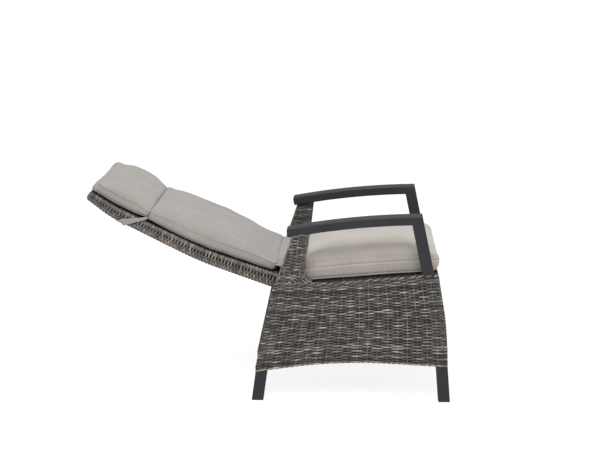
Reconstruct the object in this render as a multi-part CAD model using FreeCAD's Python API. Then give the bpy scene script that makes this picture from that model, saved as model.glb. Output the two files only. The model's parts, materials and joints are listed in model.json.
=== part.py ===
"""Reclining garden armchair: aluminium tube frame, woven sides and back, loose cushions, gas-spring back.

+X points the way the sitter looks, +Y to the sitter's left and +Z up. The origin is on the floor under
the middle of the chair as it stands here, with its back fully reclined. Side-view places are written as
(x, z) pairs measured from the point midway between the front and rear feet; to_row() moves them into
the part's own frame. Everything is in millimetres.
"""
import os

import FreeCAD
import Part
from math import atan2, cos, degrees, hypot, pi, radians, sin, sqrt, tan

Vector = FreeCAD.Vector

# ---- driving dimensions ----
WIDTH = 640.0                  # over the armrests and the woven sides
FEET_MID_X = 290.0             # x of the point midway between the feet, which centres the whole chair
SIDE_DEPTH = 42.0              # how far a woven side reaches inwards round its tubes
SKIN = 4.0                     # thickness of woven strand work
TUBE = 25.0                    # square frame tube
WALL = 2.0                     # tube wall
LEG = 41.0                     # leg tube, seen from the side
GLIDE = 5.0                    # plastic foot under each leg
CLEAR = 0.3                    # gap between pieces of different bodies

ARM_WIDTH = 55.0
ARM_THICK = 32.0
ARM_WALL = 2.5
ARM_EDGE_RADIUS = 5.0
ARM_TAIL = 16.0               # solid rear end of the arm
ARM_NOSE = 70.0               # straight front end, cut by the mitre
ARM_END_RADIUS = 9.0          # corners of the rear end, seen from the side
UPRIGHT = 41.0                 # front upright of the armrest, seen from the side
UPRIGHT_FOOT_Z = 450.0         # where the upright meets the woven side

BACK_WIDTH = 500.0
BACK_CUSHION_WIDTH = 486.0
SEAT_CUSHION_WIDTH = 508.0

RECLINE = 48.0                 # travel of the back, degrees
PIVOT = (-208.0, 402.0)
PIVOT_R = 5.0                  # shoulder bolt
BUSH_CLEAR = 0.05
PIVOT_TUBE_R = 15.0
PIVOT_TUBE_BORE = 11.0

LEVER = 60.0                   # pivot to lever pin
LEVER_PIN_R = 5.0
CYLINDER_R = 14.0
ROD_R = 5.0
CYLINDER_REAR_X = -150.0
CYLINDER_FRONT_X = 62.0
GAS_PIN_X = 112.0              # pin that holds the front of the gas spring

BUTTON_X = 150.0               # centre of the release button, on the right armrest
BUTTON_R = 8.0
BUTTON_TRAVEL = 4.0
CABLE_R = 2.5

CABLE_BEND = 22.0
VALVE_R = 2.5
RELEASE_DROP = 9.0             # valve pin to the release arm's pivot
RELEASE_REACH = 20.0           # that pivot to the cable
BACK_TUBE_IN = 217.0           # inner side of the back's side tubes
BACK_CROSS_AT = (70.0, 260.0, 450.0, 620.0, 730.0)

# ---- what follows from them ----
OUT = WIDTH / 2.0
IN = OUT - SIDE_DEPTH
TUBE_OUT = OUT - SKIN
BACK_HALF = BACK_WIDTH / 2.0
HALF_SWING = radians(RECLINE / 2.0)
GAS_Z = PIVOT[1] - LEVER * (1.0 + cos(HALF_SWING)) / 2.0
BUTTON_Z = 651.0
BUTTON_BARREL_R = BUTTON_R + 2.5
VALVE_FACE_X = CYLINDER_FRONT_X + 6.0
RELEASE_PIVOT = (VALVE_FACE_X + 7.0, GAS_Z + RELEASE_DROP)
CABLE_END_X = VALVE_FACE_X + 30.0
CABLE_Y = -(OUT - ARM_WIDTH) - 19.0
CABLE_LEG_Y = -(OUT - ARM_WIDTH) - 41.0
LEVER_PIN = (PIVOT[0] + LEVER * sin(HALF_SWING), PIVOT[1] - LEVER * cos(HALF_SWING))

# Side view of the woven side: rear edge, arched lower edge, front edge and the rim under the armrest.
SIDE_OUTLINE = [(-343, 105), (-170, 131), (0, 145), (170, 139), (344, 130),
                (334, 290), (301, 469), (-108, 430), (-160, 434), (-272, 434)]
SIDE_RADII = [8, 420, 900, 420, 8, 900, 10, 0, 0, 0]
# Side view of the woven rear post, which grows out of the side with a wide fillet at its front.
POST_OUTLINE = [(-263, 434), (-160, 434), (-106, 430), (-106, 433), (-165, 436), (-146, 606), (-207, 598)]
POST_RADII = [0, 0, 0, 0, 51, 0, 0]

# Centre lines of the tubes in a side.
REAR_LEG_LINE = [(-330, GLIDE), (-314, 122), (-243, 410), (-188, 580)]
FRONT_LEG_LINE = [(331, GLIDE), (306, 300), (271.5, 443)]
POST_STAY_LINE = [(-184, 418), (-157.5, 588)]
POST_STAY = 14.0
REAR_RAIL = (-263.0, 350.0)
REAR_RAIL_TILT = 12.0
FRONT_RAIL = (314.0, 180.0)
LOWER_RAIL_LINE = [(-312, 130), (-170, 150), (0, 161), (170, 156), (316, 147)]
TOP_RAIL_LINE = [(-232, 406), (272, 448)]

# Armrest: the top is a long shallow arc.
ARM_TOP = [(-227.5, 623.2), (0, 657), (243, 671.5)]
ARM_CORNER_LOW = (207.5, 638.0)
ARM_BRACKET_LINE = [(-205, 591.0), (-150, 600.5)]
UPRIGHT_LINE = [(235.5, 610), (270, UPRIGHT_FOOT_Z)]

# Woven back in the reclined position: rear face from the pivot end to the head, then the front face.
BACK_REAR = [(-243, 385), (-540, 491), (-850, 648), (-937, 716)]
BACK_FRONT = [(-918, 740), (-826, 683), (-523, 534), (-226, 435)]
BACK_OUTLINE = BACK_REAR + BACK_FRONT
BACK_RADII = [6, 1200, 260, 14, 14, 300, 1150, 6]
BACK_TUBE_LINE = [PIVOT, (-531, 514), (-838, 666), (-884, 699)]

SEAT_SLOPE = radians(4.8)
SEAT_CUSHION = [(-152, 423), (298, 461), (312, 500), (288, 548), (60, 549), (-160, 529), (-176, 476)]
SEAT_RADII = [14, 14, 30, 30, 2200, 34, 30]
BACK_CUSHION = [(-276, 456), (-523, 538), (-716, 631), (-700, 662), (-660, 667), (-528, 617), (-318, 520),
                (-270, 484)]
BACK_CUSHION_RADII = [16, 1100, 12, 14, 24, 1100, 34, 14]
HEAD_CUSHION = [(-730, 638), (-826, 687), (-918, 742), (-896, 778), (-800, 738), (-714, 667)]
HEAD_RADII = [14, 300, 16, 18, 260, 16]


# ---- plane geometry in the side view ----
def to_row(point, y=0.0):
    return Vector(point[0] + FEET_MID_X, y, point[1])


def unit(a, b):
    length = hypot(b[0] - a[0], b[1] - a[1])
    return (b[0] - a[0]) / length, (b[1] - a[1]) / length


def turn(before, corner, after):
    """Sine and cosine of the turn that a path makes at a corner."""
    u = unit(before, corner)
    v = unit(corner, after)
    return u[0] * v[1] - u[1] * v[0], u[0] * v[0] + u[1] * v[1]


def corner_arc(before, corner, after, radius):
    """Start, middle and end of the arc that rounds a corner."""
    u = unit(corner, before)
    v = unit(corner, after)
    cosine = max(-1.0, min(1.0, u[0] * v[0] + u[1] * v[1]))
    half = 0.5 * (pi - atan2(sqrt(1.0 - cosine * cosine), cosine))
    reach = radius * tan(half)
    reach = min(reach, 0.49 * hypot(before[0] - corner[0], before[1] - corner[1]),
                0.49 * hypot(after[0] - corner[0], after[1] - corner[1]))
    radius = reach / tan(half)
    start = (corner[0] + u[0] * reach, corner[1] + u[1] * reach)
    end = (corner[0] + v[0] * reach, corner[1] + v[1] * reach)
    middle_dir = unit((0.0, 0.0), (u[0] + v[0], u[1] + v[1]))
    to_middle = radius / cos(half) - radius
    middle = (corner[0] + middle_dir[0] * to_middle, corner[1] + middle_dir[1] * to_middle)
    return start, middle, end


def outline(points, radii, y=0.0):
    """Closed wire through the points, with each corner rounded to its radius."""
    edges = []
    count = len(points)
    spans = []
    for i in range(count):
        before, corner, after = points[i - 1], points[i], points[(i + 1) % count]
        if radii[i] > 0 and abs(turn(before, corner, after)[0]) > 1e-4:
            spans.append(corner_arc(before, corner, after, radii[i]))
        else:
            spans.append((corner, None, corner))
    for i in range(count):
        start, middle, end = spans[i]
        if middle:
            arc = Part.Arc(to_row(start, y), to_row(middle, y), to_row(end, y))
            edges.append(arc.toShape())
        following = spans[(i + 1) % count][0]
        if hypot(following[0] - end[0], following[1] - end[1]) > 1e-6:
            edges.append(Part.makeLine(to_row(end, y), to_row(following, y)))
    return Part.Wire(edges)


def prism(points, radii, y_low, y_high):
    face = Part.Face(outline(points, radii, y_low))
    return face.extrude(Vector(0, y_high - y_low, 0))


def inset(points, radii, distance):
    """The same outline, a constant distance further in."""
    area = sum(points[i - 1][0] * points[i][1] - points[i][0] * points[i - 1][1] for i in range(len(points)))
    side = 1.0 if area > 0 else -1.0
    new_points, new_radii = [], []
    for i in range(len(points)):
        before, corner, after = points[i - 1], points[i], points[(i + 1) % len(points)]
        u = unit(before, corner)
        sine, cosine = turn(before, corner, after)
        along = (1.0 - cosine) / sine if abs(sine) > 1e-6 else 0.0
        normal = (-u[1] * side, u[0] * side)
        new_points.append((corner[0] + (normal[0] - u[0] * along * side) * distance,
                           corner[1] + (normal[1] - u[1] * along * side) * distance))
        convex = sine * side > 0
        change = -distance if convex else distance
        new_radii.append(max(radii[i] + change, 0.0) if radii[i] > 0 else 0.0)
    return new_points, new_radii


def band(line, width, radius=0.0, extend=0.0):
    """Outline of a strip of constant width that follows an open line."""
    first, last = unit(line[1], line[0]), unit(line[-2], line[-1])
    line = ([(line[0][0] + first[0] * extend, line[0][1] + first[1] * extend)] + list(line[1:-1])
            + [(line[-1][0] + last[0] * extend, line[-1][1] + last[1] * extend)])
    left, right, radii = [], [], []
    for i, corner in enumerate(line):
        u = unit(line[i - 1], corner) if i else unit(corner, line[1])
        v = unit(corner, line[i + 1]) if i < len(line) - 1 else u
        sine, cosine = u[0] * v[1] - u[1] * v[0], u[0] * v[0] + u[1] * v[1]
        along = (1.0 - cosine) / sine if abs(sine) > 1e-6 else 0.0
        for side, points in ((1.0, left), (-1.0, right)):
            points.append((corner[0] + (-u[1] - u[0] * along) * side * width / 2.0,
                           corner[1] + (u[0] - u[1] * along) * side * width / 2.0))
        inner = 1.0 if sine > 0 else -1.0
        bend = (radius - inner * width / 2.0, radius + inner * width / 2.0)
        radii.append(bend if along and radius else (0, 0))
    return left + right[::-1], [r[0] for r in radii] + [r[1] for r in reversed(radii)]


def tube_along(line, width, y_low, y_high, wall=WALL, radius=0.0):
    """Rectangular tube, open at both ends, that follows a line in the side view."""
    outer = prism(*band(line, width, radius), y_low, y_high)
    core = prism(*band(line, width - 2.0 * wall, radius, extend=1.0), y_low + wall, y_high - wall)
    return outer.cut(core)


def stretched(line, reach=8.0):
    """The same line, started a little earlier so that its end can be cut flat."""
    back = unit(line[1], line[0])
    return [(line[0][0] + back[0] * reach, line[0][1] + back[1] * reach)] + list(line[1:])


def cross_tube(centre, half_length, angle=0.0, size=TUBE, wall=WALL):
    """Square tube that runs across the chair."""
    length = 2.0 * half_length
    outer = Part.makeBox(size, length, size, Vector(-size / 2.0, -half_length, -size / 2.0))
    bore = size - 2.0 * wall
    core = Part.makeBox(bore, length + 2.0, bore, Vector(-bore / 2.0, -half_length - 1.0, -bore / 2.0))
    tube = outer.cut(core)
    tube.rotate(Vector(0, 0, 0), Vector(0, 1, 0), angle)
    tube.translate(to_row(centre))
    return tube


def rod_y(centre, radius, y_low, y_high):
    return Part.makeCylinder(radius, y_high - y_low, to_row(centre, y_low), Vector(0, 1, 0))


def rod_x(x_low, x_high, radius, z, y=0.0):
    return Part.makeCylinder(radius, x_high - x_low, to_row((x_low, z), y), Vector(1, 0, 0))


def mirrored(shape):
    return shape.mirror(Vector(0, 0, 0), Vector(0, 1, 0))


def group(shapes):
    return Part.makeCompound(shapes)


def without(shape, others):
    for other in others:
        shape = shape.cut(other)
    return shape


def soften(solid, radius, choose):
    edges = [edge for edge in solid.Edges if choose(edge)]
    return solid.makeFillet(radius, edges)


def on_face_y(y):
    """Chooses the edges that lie in the plane at this y."""
    return lambda edge: all(abs(v.Point.y - y) < 1e-3 for v in edge.Vertexes)


def routed(points, radius, section_radius):
    """Round cord along straight lines joined by tangent arcs."""
    edges = []
    start = points[0]
    for i in range(1, len(points) - 1):
        u = (points[i - 1] - points[i]).normalize()
        v = (points[i + 1] - points[i]).normalize()
        half = (pi - u.getAngle(v)) / 2.0
        reach = radius * tan(half)
        first = points[i] + u * reach
        last = points[i] + v * reach
        middle = points[i] + (u + v).normalize() * (radius / cos(half) - radius)
        edges.append(Part.makeLine(start, first))
        edges.append(Part.Arc(first, middle, last).toShape())
        start = last
    edges.append(Part.makeLine(start, points[-1]))
    wire = Part.Wire(edges)
    circle = Part.Wire(Part.makeCircle(section_radius, points[0], points[1] - points[0]))
    return wire.makePipeShell([circle], True, False)


# ---- the woven sides and their tubes ----
def side_frame():
    """Tubes of the left side; the right side is its mirror image."""
    low, high = IN + 1.0, TUBE_OUT
    above_glides = Part.makeBox(2000, 2000, 1000, Vector(-1000, -1000, GLIDE))
    rear = tube_along(stretched(REAR_LEG_LINE), LEG, low, high, radius=160.0).common(above_glides)
    front = tube_along(stretched(FRONT_LEG_LINE), LEG, low, high, radius=900.0).common(above_glides)
    stay = tube_along(POST_STAY_LINE, POST_STAY, low + 6.0, high - 6.0, wall=1.5)
    lower = tube_along(LOWER_RAIL_LINE, 20.0, low + 6.0, high - 6.0, radius=500.0)
    top = tube_along(TOP_RAIL_LINE, 20.0, low + 6.0, high - 6.0)
    leg_solids = [prism(*band(line, LEG, radius), low, high)
                  for line, radius in ((REAR_LEG_LINE, 160.0), (FRONT_LEG_LINE, 900.0))]
    lower = without(lower, leg_solids)
    top = without(top, leg_solids)
    stay = without(stay, [prism(*band(TOP_RAIL_LINE, 20.0), low, high)] + leg_solids)
    return {"rear_leg": rear, "front_leg": front, "post_stay": stay, "lower_side_rail": lower,
            "top_side_rail": top}


def largest_solid(shape):
    return max(shape.Solids, key=lambda solid: solid.Volume)


def side_weave():
    """Woven side: an outer skin whose edges wrap inwards round the tubes."""
    block = prism(SIDE_OUTLINE, SIDE_RADII, IN, OUT)
    block = soften(block, 5.0, lambda edge: on_face_y(OUT)(edge) and edge.BoundBox.ZMin < 433.0)
    inner = prism(*inset(SIDE_OUTLINE, SIDE_RADII, SKIN), IN - 1.0, TUBE_OUT)
    upward = prism([(-262, 400), (-156, 400), (-156, 500), (-262, 500)], [0] * 4, IN - 1.0, TUBE_OUT)
    legs = [prism(*band(line, LEG + 0.2, radius, extend=40.0), IN - 2.0, TUBE_OUT)
            for line, radius in ((REAR_LEG_LINE, 160.0), (FRONT_LEG_LINE, 900.0))]
    return largest_solid(without(block, [inner, upward] + legs))


def post_weave():
    """Woven rear post: a sleeve round the rear leg and the stay in front of it."""
    block = prism(POST_OUTLINE, POST_RADII, IN, OUT)
    top_z = POST_OUTLINE[-2][1]
    inner = prism([(-258, 430), (-176, 430), (-167, 470), (-150, top_z + 2), (-203, top_z + 2)], [0] * 5,
                  IN + SKIN, TUBE_OUT)
    legs = prism(*band(REAR_LEG_LINE, LEG + 0.2, 160.0, extend=40.0), IN + SKIN, TUBE_OUT)
    return largest_solid(without(block, [inner, legs]))


def apron(rear):
    """Woven panel between the two legs, under the seat at the front or at the rear."""
    half = IN - CLEAR
    if rear:
        line = [(-335, 140), (-285, 372)]
    else:
        line = [(341, 142), (331, 285), (303, 445)]
    plate = prism(*band(line, 2.0 * SKIN, 900.0), -half, half)
    low_z = line[0][1]
    arch_r = (half ** 2 + 20.0 ** 2) / (2.0 * 20.0)
    arch = Part.makeCylinder(arch_r, 200.0, Vector(line[0][0] + FEET_MID_X - 100.0, 0, low_z + 14.0 - arch_r),
                             Vector(1, 0, 0))
    return plate.cut(arch)


def seat_deck():
    """Woven seat deck that the cushion lies on."""
    line = [(-168, 416), (284, 453.8)]
    return prism(*band(line, 10.0), -(IN - CLEAR), IN - CLEAR)


def seat_rails():
    """Cross tubes under the deck, at its rear, middle and front."""
    return group([cross_tube(centre, IN + 1.0, -degrees(SEAT_SLOPE))
                  for centre in ((-148.0, 398.0), (GAS_PIN_X, 418.0), (276.0, 430.5))])


def lower_rails():
    """Cross tubes behind the front and rear aprons."""
    return group([cross_tube(REAR_RAIL, IN + 1.0, REAR_RAIL_TILT), cross_tube(FRONT_RAIL, IN + 1.0, 5.0)])


def foot_glides():
    """Plastic foot plugged into each leg."""
    glides = []
    for line in (REAR_LEG_LINE, FRONT_LEG_LINE):
        x = line[0][0]
        low, high = IN + 1.0, TUBE_OUT
        pad = prism([(x - LEG / 2, 0), (x + LEG / 2, 0), (x + LEG / 2, GLIDE), (x - LEG / 2, GLIDE)],
                    [3, 3, 0, 0], low, high)
        plug = prism(*band([line[0], (line[0][0] + (line[1][0] - line[0][0]) * 0.15,
                                      line[0][1] + (line[1][1] - line[0][1]) * 0.15)],
                           LEG - 2 * WALL - 0.4, extend=2.0), low + WALL + 0.2, high - WALL - 0.2)
        plug = plug.common(Part.makeBox(2000, 2000, 100, Vector(-1000, -1000, GLIDE)))
        glides.append(pad.fuse(plug))
    return group(glides + [mirrored(glide) for glide in glides])


# ---- armrests ----
def arm_section(place, down, margin, corner):
    """Rectangle across the arm with rounded corners, hung from a place on the arm's top."""
    high, low = margin, ARM_THICK - margin
    y_low, y_high = OUT - ARM_WIDTH + margin, OUT - margin
    ring = [(y_low, high), (y_high, high), (y_high, low), (y_low, low)]
    edges = []
    for i in range(4):
        start, middle, end = corner_arc(ring[i - 1], ring[i], ring[(i + 1) % 4], corner)
        following = corner_arc(ring[i], ring[(i + 1) % 4], ring[(i + 2) % 4], corner)[0]
        arc = [place + down * d + Vector(0, y, 0) for y, d in (start, middle, end)]
        edges.append(Part.Arc(*arc).toShape())
        edges.append(Part.makeLine(arc[2], place + down * following[1] + Vector(0, following[0], 0)))
    return Part.Face(Part.Wire(edges))


def arm_station(x):
    """Place on the arm's arched top at an x of the side view, the way forwards and the way down from it."""
    centre = Part.Arc(*[to_row(point) for point in ARM_TOP]).toShape().Curve.Center
    top = to_row(ARM_TOP[1])
    across = to_row((x, 0.0)).x - centre.x
    place = Vector(centre.x + across, 0, centre.z + sqrt((top - centre).Length ** 2 - across ** 2))
    down = (centre - place).normalize()
    return centre, place, Vector(-down.z, 0, down.x), down


def arm_bar(margin, corner):
    """Arched bar of the left arm, a margin in from the arm's faces, with a straight nose for the mitre."""
    centre, rear, _, rear_down = arm_station(ARM_TOP[0][0] + ARM_TAIL)
    _, front, forwards, front_down = arm_station(ARM_CORNER_LOW[0] - ARM_TAIL)
    sweep = degrees((rear - centre).getAngle(front - centre))
    arched = arm_section(rear, rear_down, margin, corner).revolve(centre, Vector(0, 1, 0), sweep)
    nose = arm_section(front, front_down, margin, corner).extrude(forwards * ARM_NOSE)
    return arched.fuse(nose)


def mitre_half(front):
    """Half space on one side of the mitre plane where the arm meets its upright."""
    u = unit(ARM_CORNER_LOW, ARM_TOP[2])
    top = (ARM_TOP[2][0] + u[0] * 200.0, ARM_TOP[2][1] + u[1] * 200.0)
    low = (ARM_CORNER_LOW[0] - u[0] * 400.0, ARM_CORNER_LOW[1] - u[1] * 400.0)
    far = 700.0 if front else -700.0
    return prism([top, low, (far, low[1]), (far, top[1])], [0] * 4, -WIDTH, WIDTH)


def arm_tail():
    """Solid rear end of the arm, with rounded corners."""
    _, joint, forwards, down = arm_station(ARM_TOP[0][0] + ARM_TAIL)
    tail = arm_section(joint, down, 0.0, ARM_EDGE_RADIUS).extrude(forwards * -ARM_TAIL)
    corners = []
    for along, below in ((-ARM_TAIL, 0.0), (1.0, 0.0), (1.0, ARM_THICK), (-ARM_TAIL, ARM_THICK)):
        place = joint + forwards * along + down * below
        corners.append((place.x - FEET_MID_X, place.z))
    return tail.common(prism(corners, [ARM_END_RADIUS, 0, 0, ARM_END_RADIUS], 0.0, WIDTH))


def armrest():
    """Arched hollow armrest of the left side."""
    bar = arm_bar(0.0, ARM_EDGE_RADIUS).common(mitre_half(front=False))
    return arm_tail().fuse(bar.cut(arm_bar(ARM_WALL, ARM_EDGE_RADIUS - ARM_WALL)))


def arm_upright():
    """Front upright of the left armrest, mitred into the arm."""
    u = unit(UPRIGHT_LINE[1], UPRIGHT_LINE[0])
    line = [(UPRIGHT_LINE[0][0] + u[0] * 120.0, UPRIGHT_LINE[0][1] + u[1] * 120.0), UPRIGHT_LINE[1]]
    above_foot = Part.makeBox(2000, 2000, 1000, Vector(-1000, -1000, UPRIGHT_FOOT_Z))
    outer = prism(*band(line, UPRIGHT, extend=30.0), OUT - ARM_WIDTH, OUT)
    core = prism(*band(line, UPRIGHT - 2 * ARM_WALL, extend=40.0), OUT - ARM_WIDTH + ARM_WALL, OUT - ARM_WALL)
    lid = prism([(ARM_TOP[2][0] - 60, ARM_TOP[2][1] - 3.2), (ARM_TOP[2][0] + 60, ARM_TOP[2][1] + 3.2),
                 (ARM_TOP[2][0] + 60, 900), (ARM_TOP[2][0] - 60, 900)], [0] * 4, -WIDTH, WIDTH)
    core_lid = lid.copy()
    core_lid.translate(Vector(0, 0, -ARM_WALL))
    outer = outer.common(above_foot).common(mitre_half(front=True)).cut(lid)
    outer = soften(outer, 5.0, lambda edge: edge.BoundBox.ZLength > 100)
    return outer.cut(core.cut(core_lid))


def arm_spigots():
    """Plugs that join each front leg to the upright above it."""
    plug = prism(*band([(276, 424), (262, 488)], UPRIGHT - 2 * ARM_WALL - 3.0), OUT - 38.0, OUT - 21.0)
    return group([plug, mirrored(plug)])


def arm_brackets():
    """Plates on top of the rear posts that the armrests are screwed down to."""
    (x_rear, z_rear), (x_front, z_front) = ARM_BRACKET_LINE
    plate = prism([(x_rear, z_rear), (x_front, z_front), (x_front, z_front + 15.0), (x_rear, z_rear + 15.0)],
                  [0] * 4, IN + SKIN + 1.0, TUBE_OUT - 1.0)
    plate = largest_solid(plate.cut(arm_bar(0.0, ARM_EDGE_RADIUS).fuse(arm_tail())))
    return group([plate, mirrored(plate)])


def screw(head, axis, length, radius=3.0, head_radius=5.5, head_height=3.0):
    """Pan-head screw: its head stands at a place and its shank runs along an axis."""
    shank = Part.makeCylinder(radius, length, head, axis)
    cap = Part.makeCylinder(head_radius, head_height, head - axis * head_height, axis)
    return shank.fuse(cap)


def arm_screws():
    """Screws up into the armrests through the brackets, and sideways through the uprights' feet."""
    rear = []
    start, u = ARM_BRACKET_LINE[0], unit(*ARM_BRACKET_LINE)
    for reach in (20.0, 44.0):
        place = (start[0] + u[0] * reach, start[1] + u[1] * reach)
        rear.append(screw(to_row(place, OUT - 22.0), Vector(-u[1], 0, u[0]), 16.0))
    front = []
    foot, u = UPRIGHT_LINE[1], unit(UPRIGHT_LINE[1], UPRIGHT_LINE[0])
    for reach in (18.0, 34.0):
        place = (foot[0] + u[0] * reach, foot[1] + u[1] * reach)
        front.append(screw(to_row(place, OUT - ARM_WIDTH), Vector(0, 1, 0), 30.0))
    return [group(row + [mirrored(item) for item in row]) for row in (rear, front)]


# ---- pivots and stops of the back ----
def pivot_brackets():
    """Plates behind the rear seat rail that carry the pivot pins."""
    profile = [(-161.5, 386), (-160.0, 409), (-186, 424), (-226, 420), (-230, 392), (-206, 380)]
    plate = prism(profile, [0, 0, 10, 14, 12, 12], 262.0, 268.0)
    plate = plate.cut(rod_y(PIVOT, PIVOT_R, 250.0, 280.0))
    spacer = prism([(-230, 404), (-214, 404), (-214, 420), (-230, 420)], [0] * 4, 268.0, IN + 1.0)
    spacer = spacer.cut(rod_y(PIVOT, 10.5, 250.0, 290.0))
    return group([plate.fuse(spacer), mirrored(plate.fuse(spacer))])


def pivot_pins():
    """Stub axles with a collar against the bracket and a threaded tail through it."""
    pin = rod_y(PIVOT, PIVOT_R, 234.0, 274.0).fuse(rod_y(PIVOT, 9.0, 260.0, 262.0))
    return group([pin, mirrored(pin)])


def pivot_nuts():
    turns = [radians(60.0 * i) for i in range(7)]
    corners = [to_row((PIVOT[0] + 9.0 * cos(t), PIVOT[1] + 9.0 * sin(t)), 268.0) for t in turns]
    nut = Part.Face(Part.makePolygon(corners))
    nut = nut.extrude(Vector(0, 6.0, 0)).cut(rod_y(PIVOT, PIVOT_R, 260.0, 280.0))
    return group([nut, mirrored(nut)])


def pivot_bushes():
    """Flanged plastic bushes in the ends of the pivot tube, on the back."""
    bush = rod_y(PIVOT, PIVOT_TUBE_BORE, 232.0, 256.0).fuse(rod_y(PIVOT, PIVOT_TUBE_R, 256.0, 259.7))
    bush = bush.cut(rod_y(PIVOT, PIVOT_R + BUSH_CLEAR, 220.0, 270.0))
    return group([bush, mirrored(bush)])


def stop_pads():
    """Rubber pads on the lower rear rail that the reclined back comes to rest on."""
    pad = prism([(-277, 360), (-254, 360), (-255, 373), (-277, 369)], [0, 0, 2, 2], 190.0, 225.0)
    post = prism([(-270, 365), (-258, 365), (-260, 390.2), (-268, 393.1)], [0, 0, 1.5, 1.5], 195.0, 220.0)
    pad = largest_solid(pad.fuse(post).cut(cross_tube(REAR_RAIL, IN + 1.0, REAR_RAIL_TILT)))
    return group([pad, mirrored(pad)])


# ---- the back ----
def along_line(line, distance):
    """Point at a distance along a polyline, and the polyline's angle there."""
    for i in range(len(line) - 1):
        length = hypot(line[i + 1][0] - line[i][0], line[i + 1][1] - line[i][1])
        u = unit(line[i], line[i + 1])
        if distance <= length or i == len(line) - 2:
            return (line[i][0] + u[0] * distance, line[i][1] + u[1] * distance), degrees(atan2(u[1], -u[0]))
        distance -= length


def back_tubes():
    """Side tubes of the back, welded to the pivot tube."""
    tube = tube_along(BACK_TUBE_LINE, TUBE, BACK_TUBE_IN, BACK_TUBE_IN + TUBE, radius=1200.0)
    tube = largest_solid(tube.cut(rod_y(PIVOT, PIVOT_TUBE_R, 0.0, 300.0)))
    return tube, mirrored(tube)


def back_cross_tubes():
    tubes = []
    for distance in BACK_CROSS_AT:
        place, angle = along_line(BACK_TUBE_LINE, distance)
        tubes.append(cross_tube(place, BACK_TUBE_IN, angle, 20.0))
    return group(tubes)


def pivot_tube():
    return rod_y(PIVOT, PIVOT_TUBE_R, -256.0, 256.0).cut(rod_y(PIVOT, PIVOT_TUBE_BORE, -260.0, 260.0))


def back_weave():
    """Woven back: strand work wrapped right round the tubes, open at the end by the pivot."""
    outer = prism(BACK_OUTLINE, BACK_RADII, -BACK_HALF, BACK_HALF)
    outer = soften(outer, 5.0, lambda edge: on_face_y(BACK_HALF)(edge) and edge.Length > 100.0)
    outer = soften(outer, 5.0, lambda edge: on_face_y(-BACK_HALF)(edge) and edge.Length > 100.0)
    points, radii = inset(BACK_OUTLINE, BACK_RADII, SKIN)
    u = unit(points[1], points[0])
    points[0] = (points[0][0] + u[0] * 12.0, points[0][1] + u[1] * 12.0)
    points[-1] = (points[-1][0] + u[0] * 12.0, points[-1][1] + u[1] * 12.0)
    radii[0] = radii[-1] = 0.0
    return outer.cut(prism(points, radii, -BACK_HALF + SKIN, BACK_HALF - SKIN))


def head_strap():
    """Fabric loop sewn to the cushion's crease, passed round the woven back to hold the cushion on."""
    lean = [(-712, 636), (-736, 656), (-860, 637), (-860, 612)]
    outer_points, outer_radii = inset(BACK_OUTLINE, BACK_RADII, -2.0)
    inner_points, inner_radii = inset(BACK_OUTLINE, BACK_RADII, -CLEAR)
    ring = prism(outer_points, outer_radii, -BACK_HALF - 2.0, BACK_HALF + 2.0)
    ring = ring.cut(prism(inner_points, inner_radii, -BACK_HALF - CLEAR, BACK_HALF + CLEAR))
    slab = prism(lean, [0] * 4, -300.0, 300.0)
    return ring.common(slab)


# ---- gas spring and its lever ----
def lever_plates():
    """Pair of cheeks on the pivot tube that the gas spring pushes."""
    u = unit(PIVOT, LEVER_PIN)
    tip = (LEVER_PIN[0] + u[0] * 11.0, LEVER_PIN[1] + u[1] * 11.0)
    plate = prism(*band([PIVOT, tip], 24.0), 7.5, 11.5)
    plate = plate.cut(rod_y(PIVOT, PIVOT_TUBE_R, 0.0, 20.0)).cut(rod_y(LEVER_PIN, LEVER_PIN_R, 0.0, 20.0))
    plate = largest_solid(plate)
    return group([plate, mirrored(plate)])


def lever_pin():
    head = rod_y(LEVER_PIN, 8.0, 11.5, 13.5)
    return rod_y(LEVER_PIN, LEVER_PIN_R, -13.5, 13.5).fuse(head).fuse(mirrored(head))


def rod_eye():
    """Slotted eye: its slot takes up the small rise and fall of the lever pin."""
    x, slot_half = LEVER_PIN[0], LEVER_PIN_R + LEVER * (1.0 - cos(HALF_SWING)) / 2.0 + 0.6
    half_width = LEVER_PIN_R + 0.7
    outer = prism([(x - half_width - 5, GAS_Z - slot_half - 5), (x + half_width + 5, GAS_Z - slot_half - 5),
                   (x + half_width + 5, GAS_Z + slot_half + 5), (x - half_width - 5, GAS_Z + slot_half + 5)],
                  [8] * 4, -7.0, 7.0)
    slot = prism([(x - half_width, GAS_Z - slot_half), (x + half_width, GAS_Z - slot_half),
                  (x + half_width, GAS_Z + slot_half), (x - half_width, GAS_Z + slot_half)],
                 [5.0] * 4, -10.0, 10.0)
    shank = rod_x(x + half_width + 4.0, x + half_width + 12.0, 7.0, GAS_Z)
    bore = rod_x(x + half_width + 3.0, x + half_width + 13.0, ROD_R, GAS_Z)
    return outer.fuse(shank).cut(slot).cut(bore)


def gas_rod():
    return rod_x(LEVER_PIN[0] + LEVER_PIN_R + 3.7, CYLINDER_REAR_X + 76.0, ROD_R, GAS_Z)


def gas_piston():
    x = CYLINDER_REAR_X + 66.0
    return rod_x(x, x + 10.0, CYLINDER_R - 2.05, GAS_Z).cut(rod_x(x - 1.0, x + 11.0, ROD_R, GAS_Z))


def gas_cylinder():
    body = rod_x(CYLINDER_REAR_X, CYLINDER_FRONT_X, CYLINDER_R, GAS_Z)
    body = body.cut(rod_x(CYLINDER_REAR_X + 8.0, CYLINDER_FRONT_X - 8.0, CYLINDER_R - 2.0, GAS_Z))
    body = body.cut(rod_x(CYLINDER_REAR_X - 1.0, CYLINDER_REAR_X + 9.0, ROD_R + BUSH_CLEAR, GAS_Z))
    return body.cut(rod_x(CYLINDER_FRONT_X - 9.0, CYLINDER_FRONT_X + 1.0, VALVE_R + BUSH_CLEAR, GAS_Z))


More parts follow.
